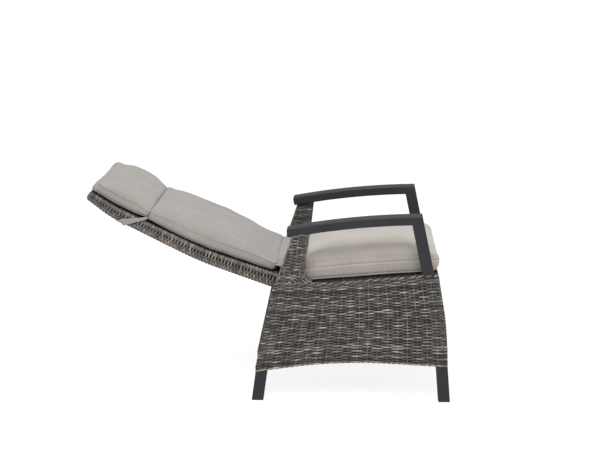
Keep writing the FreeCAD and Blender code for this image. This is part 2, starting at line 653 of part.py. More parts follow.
def valve_pin():
    return rod_x(CYLINDER_FRONT_X - 16.0, VALVE_FACE_X, VALVE_R, GAS_Z)


def release_head():
    """Block on the front of the gas spring: it carries the release arm and the fixing eye."""
    x = CYLINDER_FRONT_X
    block = Part.makeBox(GAS_PIN_X + 12.0 - x, 24.0, 28.0, to_row((x, GAS_Z - 14.0), -12.0))
    pocket = Part.makeBox(34.0, 8.0, 40.0, to_row((x + 3.0, GAS_Z - 9.0), -4.0))
    bore = rod_x(x - 1.0, x + 4.0, VALVE_R + 0.5, GAS_Z)
    post = Part.makeBox(5.0, 8.0, 24.0, to_row((CABLE_END_X, GAS_Z + 14.0), -4.0))
    hole = rod_x(CABLE_END_X - 1.0, CABLE_END_X + 6.0, CABLE_R + 0.2, GAS_Z + RELEASE_REACH + RELEASE_DROP)
    pins = rod_y((GAS_PIN_X, GAS_Z), LEVER_PIN_R, -20.0, 20.0)
    arm_pin = rod_y(RELEASE_PIVOT, 2.5, -20.0, 20.0)
    return block.fuse(post).cut(pocket).cut(bore).cut(hole).cut(pins).cut(arm_pin)


def release_arm():
    """Rocker that the cable pulls at the top and that pushes the valve pin at the bottom."""
    x = VALVE_FACE_X + CLEAR
    top = GAS_Z + RELEASE_REACH + RELEASE_DROP
    arm = prism([(x, GAS_Z - 5), (x + 8, GAS_Z - 5), (x + 13, GAS_Z + RELEASE_DROP), (x + 9, top + 6),
                 (x + 2, top + 6), (x + 2, GAS_Z + RELEASE_DROP)], [2, 4, 6, 3, 3, 0], -3.5, 3.5)
    wire_hole = rod_x(x - 5.0, x + 20.0, 2.2, top)
    return arm.cut(rod_y(RELEASE_PIVOT, 2.5 + BUSH_CLEAR, -10.0, 10.0)).cut(wire_hole)


def release_arm_pin():
    return rod_y(RELEASE_PIVOT, 2.5, -12.0, 12.0)


def gas_bracket():
    """Bracket under the middle seat rail that holds the front of the gas spring."""
    top_z = 404.6
    cheek = prism([(GAS_PIN_X - 16, top_z), (GAS_PIN_X + 16, top_z), (GAS_PIN_X + 10, GAS_Z - 12),
                   (GAS_PIN_X - 10, GAS_Z - 12)], [0, 0, 10, 10], 12.6, 16.6)
    web = Part.makeBox(32.0, 33.2, 4.0, to_row((GAS_PIN_X - 16, top_z - 4.0), -16.6))
    bracket = cheek.fuse(mirrored(cheek)).fuse(web).cut(rod_y((GAS_PIN_X, GAS_Z), LEVER_PIN_R, -20.0, 20.0))
    return bracket.cut(cross_tube((GAS_PIN_X, 418.0), IN + 1.0, -degrees(SEAT_SLOPE), wall=12.4))


def gas_pin():
    head = rod_y((GAS_PIN_X, GAS_Z), 8.0, 16.6, 19.0)
    return rod_y((GAS_PIN_X, GAS_Z), LEVER_PIN_R, -19.0, 19.0).fuse(head).fuse(mirrored(head))


# ---- release button and cable ----
def button_hole():
    return rod_y((BUTTON_X, BUTTON_Z), BUTTON_BARREL_R, -(OUT - ARM_WIDTH) - 28.0, -(OUT - ARM_WIDTH) + 1.0)


def button_housing():
    """Round housing let into the inner side of the right armrest."""
    face = -(OUT - ARM_WIDTH)
    centre = (BUTTON_X, BUTTON_Z)
    body = rod_y(centre, BUTTON_BARREL_R, face - 27.0, face)
    body = body.fuse(rod_y(centre, BUTTON_R + 4.5, face, face + 1.5))
    body = body.cut(rod_y(centre, BUTTON_R + BUSH_CLEAR, face - 24.0, face + 5.0))
    return body.cut(rod_x(BUTTON_X + 6.0, BUTTON_X + 30.0, CABLE_R + 0.1, BUTTON_Z, CABLE_Y))


def release_button():
    face = -(OUT - ARM_WIDTH)
    cap = rod_y((BUTTON_X, BUTTON_Z), BUTTON_R, face - 12.0, face + 1.5 + BUTTON_TRAVEL + 0.5)
    return cap.makeFillet(1.5, [edge for edge in cap.Edges if edge.BoundBox.YMin > face + 5.0
                                and edge.BoundBox.YLength < 1e-3])


def button_spring():
    """Coil spring between the button and the closed end of its housing."""
    face = -(OUT - ARM_WIDTH)
    length, wire_r, coil_r, sides = 12.0 - 2 * 0.6, 0.5, 4.5, 8
    coil = Part.makeHelix(2.4, length, coil_r)
    section = Part.makePolygon([Vector(coil_r + wire_r * cos(2 * pi * i / sides), 0,
                                       wire_r * sin(2 * pi * i / sides)) for i in range(sides + 1)])
    spring = Part.Wire(coil).makePipeShell([section], True, True)
    spring.rotate(Vector(0, 0, 0), Vector(1, 0, 0), -90)
    spring.translate(to_row((BUTTON_X, BUTTON_Z), face - 24.0 + 0.6))
    return spring


def cable_route():
    """From the button housing along the arm, down the upright and the leg, then under the seat."""
    y = CABLE_LEG_Y
    return [to_row((BUTTON_X + 9.0, BUTTON_Z), CABLE_Y), to_row((BUTTON_X + 28.0, BUTTON_Z + 1.5), CABLE_Y),
            to_row((BUTTON_X + 52.0, BUTTON_Z + 4.0), y), to_row((227, 655), y), to_row((278, 450), y),
            to_row((290, 388), y), to_row((280, 384), -200.0), to_row((225, 376), 0.0),
            to_row((CABLE_END_X, GAS_Z + RELEASE_REACH + RELEASE_DROP), 0.0)]


def release_cable():
    return routed(cable_route(), CABLE_BEND, CABLE_R)


def cable_wire():
    """Bare inner wire between the cable's end and the release arm, with its nipple behind the arm."""
    top = GAS_Z + RELEASE_REACH + RELEASE_DROP
    wire = rod_x(VALVE_FACE_X - 6.0, CABLE_END_X, 0.8, top)
    nipple = rod_x(VALVE_FACE_X - 6.0, VALVE_FACE_X - 1.5, 3.0, top)
    return wire.fuse(nipple)


def make_room(nodes):
    """Cuts woven skins and plates back from the tubes, screws and cable that pass through them."""
    passage = routed(cable_route(), CABLE_BEND, CABLE_R + 1.5)
    nodes["front_leg_right"] = nodes["front_leg_right"].cut(passage)
    screws = nodes["arm_rear_screws"].Solids + nodes["arm_front_screws"].Solids
    arm = arm_bar(0.0, ARM_EDGE_RADIUS).fuse(arm_tail())
    upright = prism(*band(UPRIGHT_LINE, UPRIGHT, extend=6.0), OUT - ARM_WIDTH, OUT)
    side_block = prism(SIDE_OUTLINE, SIDE_RADII, IN, OUT)
    for side, turned in (("_left", lambda shape: shape), ("_right", mirrored)):
        tubes = [nodes[name + side] for name in ("rear_leg", "front_leg", "post_stay", "lower_side_rail",
                                                 "top_side_rail")]
        brackets = nodes["arm_brackets"].Solids
        woven = without(nodes["side_weave" + side], tubes + [turned(upright)])
        nodes["side_weave" + side] = largest_solid(woven)
        woven = without(nodes["post_weave" + side], tubes + brackets + [turned(arm), turned(side_block)])
        nodes["post_weave" + side] = largest_solid(woven)
        rail = without(nodes["top_side_rail" + side], nodes["arm_spigots"].Solids + [turned(upright)])
        nodes["top_side_rail" + side] = largest_solid(rail)
        nodes["armrest" + side] = without(nodes["armrest" + side], screws)
        nodes["arm_upright" + side] = without(nodes["arm_upright" + side], screws)
        nodes["seat_deck_weave"] = nodes["seat_deck_weave"].cut(turned(upright))
    nodes["arm_spigots"] = without(nodes["arm_spigots"], screws)
    nodes["arm_brackets"] = without(nodes["arm_brackets"], screws)
    nodes["armrest_right"] = nodes["armrest_right"].cut(button_hole())
    nodes["pivot_brackets"] = without(nodes["pivot_brackets"], nodes["seat_rails"].Solids
                                      + [nodes["seat_deck_weave"]])


def build():
    nodes = {}
    frame = side_frame()
    for name, shape in frame.items():
        nodes[name + "_left"] = shape
    nodes["side_weave_left"] = side_weave()
    nodes["post_weave_left"] = post_weave()
    nodes["armrest_left"] = armrest()
    nodes["arm_upright_left"] = arm_upright()
    for name in [name for name in nodes if name.endswith("_left")]:
        nodes[name.replace("_left", "_right")] = mirrored(nodes[name])
    nodes["seat_rails"] = seat_rails()
    nodes["lower_rails"] = lower_rails()
    nodes["front_apron_weave"] = apron(rear=False)
    nodes["rear_apron_weave"] = apron(rear=True)
    nodes["seat_deck_weave"] = seat_deck()
    nodes["foot_glides"] = foot_glides()
    nodes["seat_cushion"] = prism(SEAT_CUSHION, SEAT_RADII, -SEAT_CUSHION_WIDTH / 2, SEAT_CUSHION_WIDTH / 2)
    nodes["back_cushion"] = prism(BACK_CUSHION, BACK_CUSHION_RADII, -BACK_CUSHION_WIDTH / 2,
                                  BACK_CUSHION_WIDTH / 2)
    nodes["head_cushion"] = prism(HEAD_CUSHION, HEAD_RADII, -BACK_CUSHION_WIDTH / 2, BACK_CUSHION_WIDTH / 2)
    nodes["arm_brackets"] = arm_brackets()
    nodes["arm_spigots"] = arm_spigots()
    nodes["arm_rear_screws"], nodes["arm_front_screws"] = arm_screws()
    nodes["pivot_brackets"] = pivot_brackets()
    nodes["pivot_pins"] = pivot_pins()
    nodes["pivot_nuts"] = pivot_nuts()
    nodes["pivot_bushes"] = pivot_bushes()
    nodes["recline_stop_pads"] = stop_pads()
    nodes["back_tube_left"], nodes["back_tube_right"] = back_tubes()
    nodes["back_cross_tubes"] = back_cross_tubes()
    nodes["back_pivot_tube"] = pivot_tube()
    nodes["back_weave"] = back_weave()
    nodes["head_strap"] = head_strap()
    nodes["lever_plates"] = lever_plates()
    nodes["lever_pin"] = lever_pin()
    nodes["gas_rod_eye"] = rod_eye()
    nodes["gas_rod"] = gas_rod()
    nodes["gas_piston"] = gas_piston()
    nodes["gas_cylinder"] = gas_cylinder()
    nodes["valve_pin"] = valve_pin()
    nodes["release_head"] = release_head()
    nodes["release_arm"] = release_arm()
    nodes["release_arm_pin"] = release_arm_pin()
    nodes["gas_spring_bracket"] = gas_bracket()
    nodes["gas_spring_pin"] = gas_pin()
    nodes["button_housing"] = button_housing()
    nodes["release_button"] = release_button()
    nodes["button_spring"] = button_spring()
    nodes["release_cable"] = release_cable()
    nodes["release_cable_wire"] = cable_wire()
    make_room(nodes)
    return nodes


os.makedirs("parts", exist_ok=True)
for node, shape in build().items():
    shape.exportStep("parts/" + node + ".step")
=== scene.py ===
"""Looks of the reclining garden armchair: real woven strands, simulated cushions and finished materials.

Metres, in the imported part's frame: +X the way the sitter faces, +Y to the sitter's left, +Z up.
"""
import json
from math import cos, pi, radians, sin

import bpy
import numpy as np
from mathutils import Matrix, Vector
from mathutils.bvhtree import BVHTree


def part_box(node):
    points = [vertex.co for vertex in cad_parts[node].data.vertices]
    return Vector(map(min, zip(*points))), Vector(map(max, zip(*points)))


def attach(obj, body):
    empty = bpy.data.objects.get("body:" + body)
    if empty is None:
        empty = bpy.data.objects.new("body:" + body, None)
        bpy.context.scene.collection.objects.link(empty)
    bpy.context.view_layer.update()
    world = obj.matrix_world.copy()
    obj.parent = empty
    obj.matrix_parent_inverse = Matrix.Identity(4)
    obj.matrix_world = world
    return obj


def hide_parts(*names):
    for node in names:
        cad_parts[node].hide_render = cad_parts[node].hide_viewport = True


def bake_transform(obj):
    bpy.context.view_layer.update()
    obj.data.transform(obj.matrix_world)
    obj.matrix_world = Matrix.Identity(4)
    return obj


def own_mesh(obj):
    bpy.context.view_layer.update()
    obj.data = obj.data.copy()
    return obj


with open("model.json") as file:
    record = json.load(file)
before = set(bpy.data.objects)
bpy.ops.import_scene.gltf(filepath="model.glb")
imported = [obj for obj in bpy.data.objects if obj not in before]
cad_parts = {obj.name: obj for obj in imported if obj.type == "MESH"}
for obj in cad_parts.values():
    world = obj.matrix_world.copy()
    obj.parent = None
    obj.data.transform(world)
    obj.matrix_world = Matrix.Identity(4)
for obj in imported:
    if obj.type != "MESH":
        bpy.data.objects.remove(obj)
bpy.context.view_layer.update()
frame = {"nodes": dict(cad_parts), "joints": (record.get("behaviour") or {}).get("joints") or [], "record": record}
scene = bpy.context.scene

# ---- driving sizes of the woven work ----
STRAND = 0.0058                # width of a strand
FLAT = 0.72                    # its depth, as a share of its width
ROW = 0.0055                   # from one row to the next on the sides and posts
BACK_ROW = 0.006              # and on the back
STAKES = 19                    # gaps between upright stakes across a side
STAKE_GAP = 0.036              # stake spacing on the back and the panels between the legs
POST_GAP = 0.0185              # stake spacing on the posts
SWING = 0.006                 # how far a row goes in behind a stake on open stretches
TUBE_SWING = 0.0034            # and where a frame tube lies close behind it
HOLLOW = 0.028                 # how far the top of a side sinks behind its outer strands
STEP = 0.0062                  # spacing of points along a strand
CORNER = 0.0065                # bend of a row round the edge of a panel
CUSHION_GAP = 0.004            # from the back's line to its cushions

RADIUS = STRAND / 2
DEPTH = RADIUS * FLAT


# ---- small geometry helpers ----
def tree_of(node):
    """Search tree of a CAD node."""
    mesh = frame["nodes"][node].data
    mesh.calc_loop_triangles()
    return BVHTree.FromPolygons([v.co.copy() for v in mesh.vertices],
                                [tuple(t.vertices) for t in mesh.loop_triangles])


def hit(tree, origin, direction):
    """Where a ray first meets the mesh, or None."""
    return tree.ray_cast(Vector(origin), Vector(direction))[0]


def span(tree, y, z_rear, z_front):
    """Rear and front of a mesh along x, each met at its own height."""
    return hit(tree, (-1.0, y, z_rear), (1, 0, 0)).x, hit(tree, (2.0, y, z_front), (-1, 0, 0)).x


def put(name, data):
    """New object in the scene."""
    piece = bpy.data.objects.new(name, data)
    scene.collection.objects.link(piece)
    return piece


def new_mesh(name, vertices, faces):
    """Smooth-shaded object in the scene, made from points and faces."""
    mesh = bpy.data.meshes.new(name)
    mesh.from_pydata(vertices, [], faces)
    mesh.polygons.foreach_set("use_smooth", [True] * len(mesh.polygons))
    mesh.update()
    return put(name, mesh)


def eased(value, low, high):
    """Rises from 0 to 1 as a value goes from low to high."""
    share = np.clip((value - low) / (high - low), 0.0, 1.0)
    return share * share * (3.0 - 2.0 * share)


def run_along(points):
    """Distance along a line, at each of its points."""
    return np.concatenate([[0.0], np.cumsum(np.linalg.norm(np.diff(points, axis=0), axis=1))])


def sampled(at, run, columns):
    """Columns of values along a line, taken at other distances, a row for each."""
    return np.array([np.interp(at, run, column) for column in columns.T])


def unit(vectors):
    """Vectors, a row each, scaled to length 1."""
    return vectors / np.maximum(np.linalg.norm(vectors, axis=1)[:, None], 1e-9)


def averaged(values, reach):
    """Rows of values, each averaged with reach rows before and after it."""
    padded = np.concatenate([np.repeat(values[:1], reach, 0), values, np.repeat(values[-1:], reach, 0)])
    window = np.ones(2 * reach + 1) / (2 * reach + 1)
    return np.column_stack([np.convolve(column, window, "valid") for column in padded.T])


def weaving(places, pitch, phase):
    """How far in a row goes between stakes, 0 to 1, at places along it."""
    return 0.5 - 0.5 * np.cos(pi * places / pitch + phase)


def swinging(swing, start, pitch, phase):
    """Face function for round_panel: a row that goes over and under even stakes."""
    def face(places):
        wave = weaving(places - start, pitch, phase)
        return swing * wave, wave

    return face


class Strands:
    """Collects strands into one mesh that stores run, place round the strand, tone and painted shade."""

    def __init__(self, seed):
        self.random = np.random.default_rng(seed)
        self.vertices, self.faces, self.marks, self.painted_shades = [], [], [], []
        self.count = 0

    def add(self, path, radius=RADIUS, flat=FLAT, sides=6, closed=False, up=(0.0, 0.0, 1.0), tone=None,
            recess=0.1):
        """One strand along a path, squeezed at right angles to up. Its painted shade, 0 to 1, darkens it for how
        deep it sits or how shadowed it is.
        """
        path = np.asarray(path, float)
        rows = len(path)
        if closed:
            tangent = np.roll(path, -1, 0) - np.roll(path, 1, 0)
        else:
            tangent = np.gradient(path, axis=0)
        tangent = unit(tangent)
        side = unit(np.cross(np.broadcast_to(np.asarray(up, float), tangent.shape), tangent))
        over = np.cross(tangent, side)
        angle = np.arange(sides) * 2 * pi / sides + pi / sides
        ring = (path[:, None, :] + radius * flat * np.cos(angle)[None, :, None] * side[:, None, :]
                + radius * np.sin(angle)[None, :, None] * over[:, None, :])
        mark = np.empty((rows, sides, 3))
        mark[..., 0] = (run_along(path) + self.random.random() * 5.0)[:, None]
        mark[..., 1] = (np.arange(sides) / sides)[None, :]
        mark[..., 2] = self.random.random() if tone is None else tone
        depth = np.broadcast_to(np.asarray(recess, float).reshape(-1, 1), (rows, sides))
        grid = np.arange(rows * sides).reshape(rows, sides) + self.count
        after = np.roll(grid, -1, 0) if closed else grid[1:]
        before = grid if closed else grid[:-1]
        quads = np.stack([before, np.roll(before, -1, 1), np.roll(after, -1, 1), after], -1).reshape(-1, 4)
        self.vertices.append(ring.reshape(-1, 3))
        self.marks.append(mark.reshape(-1, 3))
        self.painted_shades.append(depth.reshape(-1))
        self.faces.extend(quads.tolist())
        if not closed:
            self.faces.append(grid[0][::-1].tolist())
            self.faces.append(grid[-1].tolist())
        self.count += rows * sides

    def mesh(self, name):
        """The strands as one object, with what is stored on their points."""
        piece = new_mesh(name, np.concatenate(self.vertices).tolist(), self.faces)
        marks = piece.data.attributes.new("strand", "FLOAT_VECTOR", "POINT")
        marks.data.foreach_set("vector", np.concatenate(self.marks).astype(np.float32).ravel())
        painted_shades = piece.data.attributes.new("recess", "FLOAT", "POINT")
        painted_shades.data.foreach_set("value", np.concatenate(self.painted_shades).astype(np.float32))
        return piece

    def finish(self, name, body, node):
        """The strands as a finished piece that rides on a body and stands for a CAD node."""
        finish(self.mesh(name), strand, "weave", body, node)


def round_panel(start, end, near, far, near_face, far_face, edge_face=None, edge_shade=0.15, step=STEP):
    """Closed plan of a row wrapped round a panel, as (along, across, painted shade).

    It runs from start to end along the near face, round the end, back along the far face and round the
    start. Each face function takes places along its face and gives how far the row sits in, and the shade
    painted on it there. edge_shade is the shade painted on the bends, and on edges that have no function.
    """
    inward = 1.0 if far > near else -1.0
    forward = np.arange(start + CORNER, end - CORNER, step)
    backward = forward[::-2]
    inset, recess = near_face(forward)
    far_inset, far_painted_shade = far_face(backward)
    turn = np.linspace(0.0, pi / 2, 4)
    bend, shade = CORNER * np.sin(turn), np.full(4, edge_shade)
    edge_step = 0.004
    between = np.arange(CORNER + edge_step, abs(far - near) - CORNER - 0.003, edge_step)
    edge_inset, edge_painted_shade = np.zeros_like(between), np.full_like(between, edge_shade)
    if edge_face:
        edge_inset, edge_painted_shade = edge_face(between)
    plan = ((forward, near + inward * inset, recess),
            (end - CORNER + bend, near + inward * (CORNER - bend[::-1]), shade),
            (end - edge_inset, near + inward * between, edge_painted_shade),
            (end - CORNER + bend[::-1], far - inward * (CORNER - bend), shade),
            (backward, far - inward * far_inset, far_painted_shade),
            (start + CORNER - bend, far - inward * (CORNER - bend[::-1]), shade),
            (start + edge_inset[::-1], near + inward * between[::-1], edge_painted_shade[::-1]),
            (start + CORNER - bend[::-1], near + inward * (CORNER - bend), shade))
    return np.concatenate([np.column_stack(part) for part in plan])


# ---- materials ----
def grey(value):
    return (value,) * 3


class Nodes:
    """Short way to write a node tree."""

    def __init__(self, name):
        self.material = bpy.data.materials.new(name)
        self.material.use_nodes = True
        self.tree = self.material.node_tree
        self.shader = self.tree.nodes["Principled BSDF"]

    def feed(self, node, inputs):
        """Links inputs of a node, given by name or number, to other nodes or sets them to plain values."""
        for key, value in inputs.items():
            if isinstance(value, bpy.types.NodeSocket):
                self.tree.links.new(value, node.inputs[key])
            else:
                node.inputs[key].default_value = value

    def add(self, kind, inputs):
        """New node with its inputs fed."""
        node = self.tree.nodes.new("ShaderNode" + kind)
        self.feed(node, inputs)
        return node

    def stored(self, name, output):
        """What the strands store on their points."""
        node = self.add("Attribute", {})
        node.attribute_name = name
        return node.outputs[output]

    def place(self):
        return self.add("TexCoord", {}).outputs["Object"]

    def math(self, operation, a, b, clamp=False):
        node = self.add("Math", {0: a, 1: b})
        node.operation = operation
        node.use_clamp = clamp
        return node.outputs[0]

    def total(self, *pairs):
        """Sum of values times their weights, kept between 0 and 1."""
        value = self.math("MULTIPLY", *pairs[0])
        for pair in pairs[1:]:
            value = self.math("ADD", value, self.math("MULTIPLY", *pair), clamp=True)
        return value

    def combine(self, *values):
        return self.add("CombineXYZ", dict(enumerate(values))).outputs[0]

    def ramp(self, source, stops):
        node = self.add("ValToRGB", {0: source})
        elements = node.color_ramp.elements
        while len(elements) < len(stops):
            elements.new(0.5)
        for element, (place, colour) in zip(elements, stops):
            element.position = place
            element.color = (*colour, 1.0)
        return node.outputs[0]

    def mix(self, blend, factor, a, b):
        node = self.add("Mix", {})
        node.data_type = "RGBA"
        node.blend_type = blend
        self.feed(node, {0: factor, 6: a, 7: b})
        return node.outputs[2]

    def noise(self, vector, scale, detail=3.0, roughness=0.5):
        return self.add("TexNoise", {"Scale": scale, "Detail": detail, "Roughness": roughness,
                                     "Vector": vector}).outputs["Fac"]

    def stretched(self, vector, scale, turn=0.0):
        return self.add("Mapping", {"Rotation": (0.0, turn, 0.0), "Scale": scale,
                                    "Vector": vector}).outputs[0]

    def bump(self, height, strength, distance):
        node = self.add("Bump", {"Strength": strength, "Distance": distance, "Height": height})
        self.feed(self.shader, {"Normal": node.outputs[0]})


def strand_material():
    """Extruded strand: streaks along it, warm and cool greys, and painted shade where it sits deep in the weave or
    lies in shadow.
    """
    n = Nodes("woven_strand")
    along, around, tone = n.add("SeparateXYZ", {0: n.stored("strand", "Vector")}).outputs

    def varied(detail, roughness, *pairs):
        return n.noise(n.combine(*[n.math("MULTIPLY", *pair) for pair in pairs]), 1.0, detail, roughness)

    streak = varied(4.0, 0.65, (along, 42.0), (around, 4.0), (tone, 60.0))
    patch = varied(2.0, 0.5, (along, 17.0), (tone, 90.0))
    hue = varied(1.0, 0.5, (along, 6.0), (tone, 170.0))
    mixed = n.total((tone, 0.36), (patch, 0.62), (n.math("SUBTRACT", streak, 0.5), 0.95))
    colour = n.mix("MIX", n.ramp(hue, [(0.42, grey(0.0)), (0.58, grey(1.0))]),
                   n.ramp(mixed, STRAND_WARM), n.ramp(mixed, STRAND_COOL))
    # painted shade: the share stored on each point darkens the strand's colour through STRAND_SHADE
    shade = n.ramp(n.stored("recess", "Fac"), STRAND_SHADE)
    n.feed(n.shader, {"Base Color": n.mix("MULTIPLY", 1.0, colour, shade), "Roughness": 0.46,
                      "Specular IOR Level": 0.4})
    n.bump(streak, 0.35, 0.0006)
    return n.material


def fabric_material(name, turn, light, dark):
    """Outdoor canvas: fine plain weave, slubs along both threads, soft sheen."""
    n = Nodes(name)
    base = n.stretched(n.place(), (1.0, 1.0, 1.0), turn)
    warp, weft, slub, rib = [n.noise(n.stretched(base, scale), 1.0, detail) for scale, detail in (
        ((25.0, 900.0, 900.0), 2.0), ((900.0, 25.0, 900.0), 2.0), ((4.0, 230.0, 230.0), 3.0),
        ((260.0, 5.0, 5.0), 2.0))]
    cloud = n.noise(base, 9.0, 3.0)
    threads = n.total((warp, 0.5), (weft, 0.5))
    mixed = n.total((threads, 0.45), (cloud, 0.18), (slub, 0.22), (rib, 0.15))
    n.feed(n.shader, {"Base Color": n.ramp(mixed, [(0.36, dark), (0.64, light)]), "Roughness": 0.92,
                      "Specular IOR Level": 0.18, "Sheen Weight": 0.25, "Sheen Roughness": 0.6})
    n.bump(threads, 0.5, 0.0008)
    return n.material


def coated_material(name, dark, light):
    """Fine-textured powder coat with a faint cloudiness."""
    n = Nodes(name)
    grain = n.noise(n.place(), 1400.0, 2.0)
    cloud = n.noise(n.place(), 14.0, 4.0)
    mixed = n.total((grain, 0.6), (cloud, 0.4))
    n.feed(n.shader, {"Base Color": n.ramp(mixed, [(0.35, dark), (0.65, light)]),
                      "Roughness": n.ramp(cloud, [(0.3, grey(0.44)), (0.7, grey(0.54))]),
                      "Specular IOR Level": 0.3})
    n.bump(grain, 0.25, 0.0004)
    return n.material


def plain_material(name, colour, roughness, metallic=0.0, scale=300.0, spread=0.18):
    """Small fittings: colour and gloss vary a little with a fine grain."""
    n = Nodes(name)
    grain = n.noise(n.place(), scale, 4.0)
    dark = tuple(c * (1 - spread) for c in colour)
    light = tuple(min(c * (1 + spread), 1.0) for c in colour)
    gloss = [(0.3, grey(roughness * 0.85)), (0.7, grey(min(roughness * 1.15, 1.0)))]
    n.feed(n.shader, {"Base Color": n.ramp(grain, [(0.3, dark), (0.7, light)]),
                      "Roughness": n.ramp(grain, gloss), "Metallic": metallic})
    n.bump(grain, 0.12, 0.0003)
    return n.material


STRAND_WARM = [(0.22, (0.022, 0.015, 0.011)), (0.44, (0.07, 0.054, 0.043)),
               (0.62, (0.165, 0.136, 0.111)), (0.82, (0.43, 0.374, 0.314))]
STRAND_COOL = [(0.22, (0.018, 0.017, 0.018)), (0.44, (0.058, 0.056, 0.057)),
               (0.62, (0.14, 0.133, 0.129)), (0.82, (0.38, 0.354, 0.324))]
# how far painted shade darkens a strand, from none to the deepest
STRAND_SHADE = [(0.0, grey(1.0)), (0.4, grey(0.66)), (1.0, grey(0.1))]


def finish(piece, material, slot, body, *replaced):
    """Gives a piece its material, the body it rides on and the CAD nodes it stands for. slot is not used."""
    piece.data.materials.clear()
    piece.data.materials.append(material)
    if replaced:
        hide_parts(*replaced)
    if body:
        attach(piece, body)


# ---- woven sides ----
class SidePanel:
    """Outline of one woven side, read from its CAD skin."""

    def __init__(self, side, sign):
        self.sign = sign
        self.tree = tree_of("side_weave_" + side)
        self.low, self.high = low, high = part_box("side_weave_" + side)
        self.out = max(abs(low.y), abs(high.y))
        self.inside = min(abs(low.y), abs(high.y))
        self.probe = self.sign * (self.out - 0.002)
        self.mid_x = (low.x + high.x) / 2
        spots = np.linspace(low.x + 0.012, high.x - 0.012, 15)
        self.arch = np.polyfit(spots, self.met(spots, 1), 4)
        rim = [low.x + 0.3, high.x - 0.12]
        self.rim = np.polyfit(rim, self.met(rim, -1), 1)
        self.shelf = self.met([low.x + 0.1], -1)[0]

    def met(self, spots, up):
        """Heights at which the skin is met going up (1) or down (-1) at places along it."""
        start = -0.1 if up > 0 else 1.0
        return [hit(self.tree, (x, self.probe, start), (0, 0, up)).z for x in spots]

    def bottom(self, x):
        """The arched lower edge."""
        return np.polyval(self.arch, x)

    def top(self, x):
        """The sloping rim, which levels out at the rear where the post stands on it."""
        return np.maximum(np.polyval(self.rim, x), self.shelf)

    def level(self, x, v):
        """Height of a row that is a share v of the way up from the arch to the rim."""
        return (1 - v) * self.bottom(x) + v * self.top(x)

    def ends(self, z):
        """Rear and front edge of the skin at a height, kept within the heights of that edge."""
        foot = self.bottom(self.high.x - 0.012) + 0.01
        z_rear = min(max(z, self.low.z + 0.012), self.high.z - 0.036)
        z_front = min(max(z, foot), self.high.z - 0.008)
        return span(self.tree, self.probe, z_rear, z_front)

    def sunk(self, x, y):
        """Share by which the top sinks behind its outer strands, under the cushion's side."""
        inwards = eased(self.out - np.abs(y), 0.003, 0.017)
        return (inwards * eased(x, self.low.x + 0.16, self.low.x + 0.21)
                * eased(self.high.x - x, 0.02, 0.06))

    def row_ends(self, v):
        """Rear and front edge of a row that climbs with the rim."""
        rear, front = self.ends(self.level(self.mid_x, v))
        return self.ends(self.level(rear, v))[0], self.ends(self.level(front, v))[1]


def weave_side(side, sign, seed):
    """Rows of strands wrapped round a side, over and under its upright stakes."""
    panel = SidePanel(side, sign)
    work = Strands(seed)
    left_edge = panel.low.x + 0.03
    rows = int(round((panel.top(left_edge) - panel.bottom(left_edge)) / ROW))
    random = np.random.default_rng(7)
    proud = 0.0006
    for row in range(rows + 1):
        v = (row + 0.5) / (rows + 1)
        rear, front = panel.row_ends(v)
        nudge = 0.0032 * (row % 2)
        phase = pi * row + random.normal(0.0, 0.12)
        height = v * (panel.top(panel.mid_x) - panel.bottom(panel.mid_x))
        open_rows = eased(min(height, 0.3 - height), 0.03, 0.045)

        # each face gives how far the row goes in behind a stake, and the painted shade it gets there
        def outer_face(x):
            wave = weaving(x - rear, (front - rear) / STAKES, phase)
            open_here = eased(np.minimum(x - rear, front - x), 0.045, 0.06) * open_rows
            return (TUBE_SWING + (SWING - TUBE_SWING) * open_here) * wave, wave

        def inner_face(x):
            wave = weaving(x - rear, (front - rear) / STAKES, phase)
            return 0.0012 * wave, 0.2 + 0.5 * wave

        # the ends of every other row are set back and get more painted shade
        plan = round_panel(rear + RADIUS - proud + nudge, front - RADIUS + proud - nudge,
                           panel.out + proud - DEPTH, panel.inside + 2 * proud, outer_face, inner_face,
                           edge_shade=0.15 + 0.45 * (row % 2))
        x = plan[:, 0]
        drift = 0.0009 * np.sin(x * 19.0 + v * 11.0) + 0.0005 * np.sin(x * 43.0 + row * 1.9)
        # under the cushion's side the top rows sink and get painted shade for the cushion's shadow
        sunk = panel.sunk(x, plan[:, 1]) * eased(v, 0.8, 1.0)
        work.add(np.column_stack([x, sign * plan[:, 1], panel.level(x, v) + drift - HOLLOW * sunk]),
                 closed=True, recess=plan[:, 2] + 0.7 * sunk)
    for k in range(1, STAKES):
        path = []
        for v in np.linspace(0.0, 1.0, 24):
            rear, front = panel.row_ends(v)
            x = rear + (front - rear) * k / STAKES
            path.append((x, sign * (panel.out - 0.004), panel.level(x, v)))
        work.add(path, radius=0.002, flat=1.0, up=(0, sign, 0), tone=0.85)
    weave_rims(panel, work)
    work.finish("woven_side_" + side, "base", "side_weave_" + side)


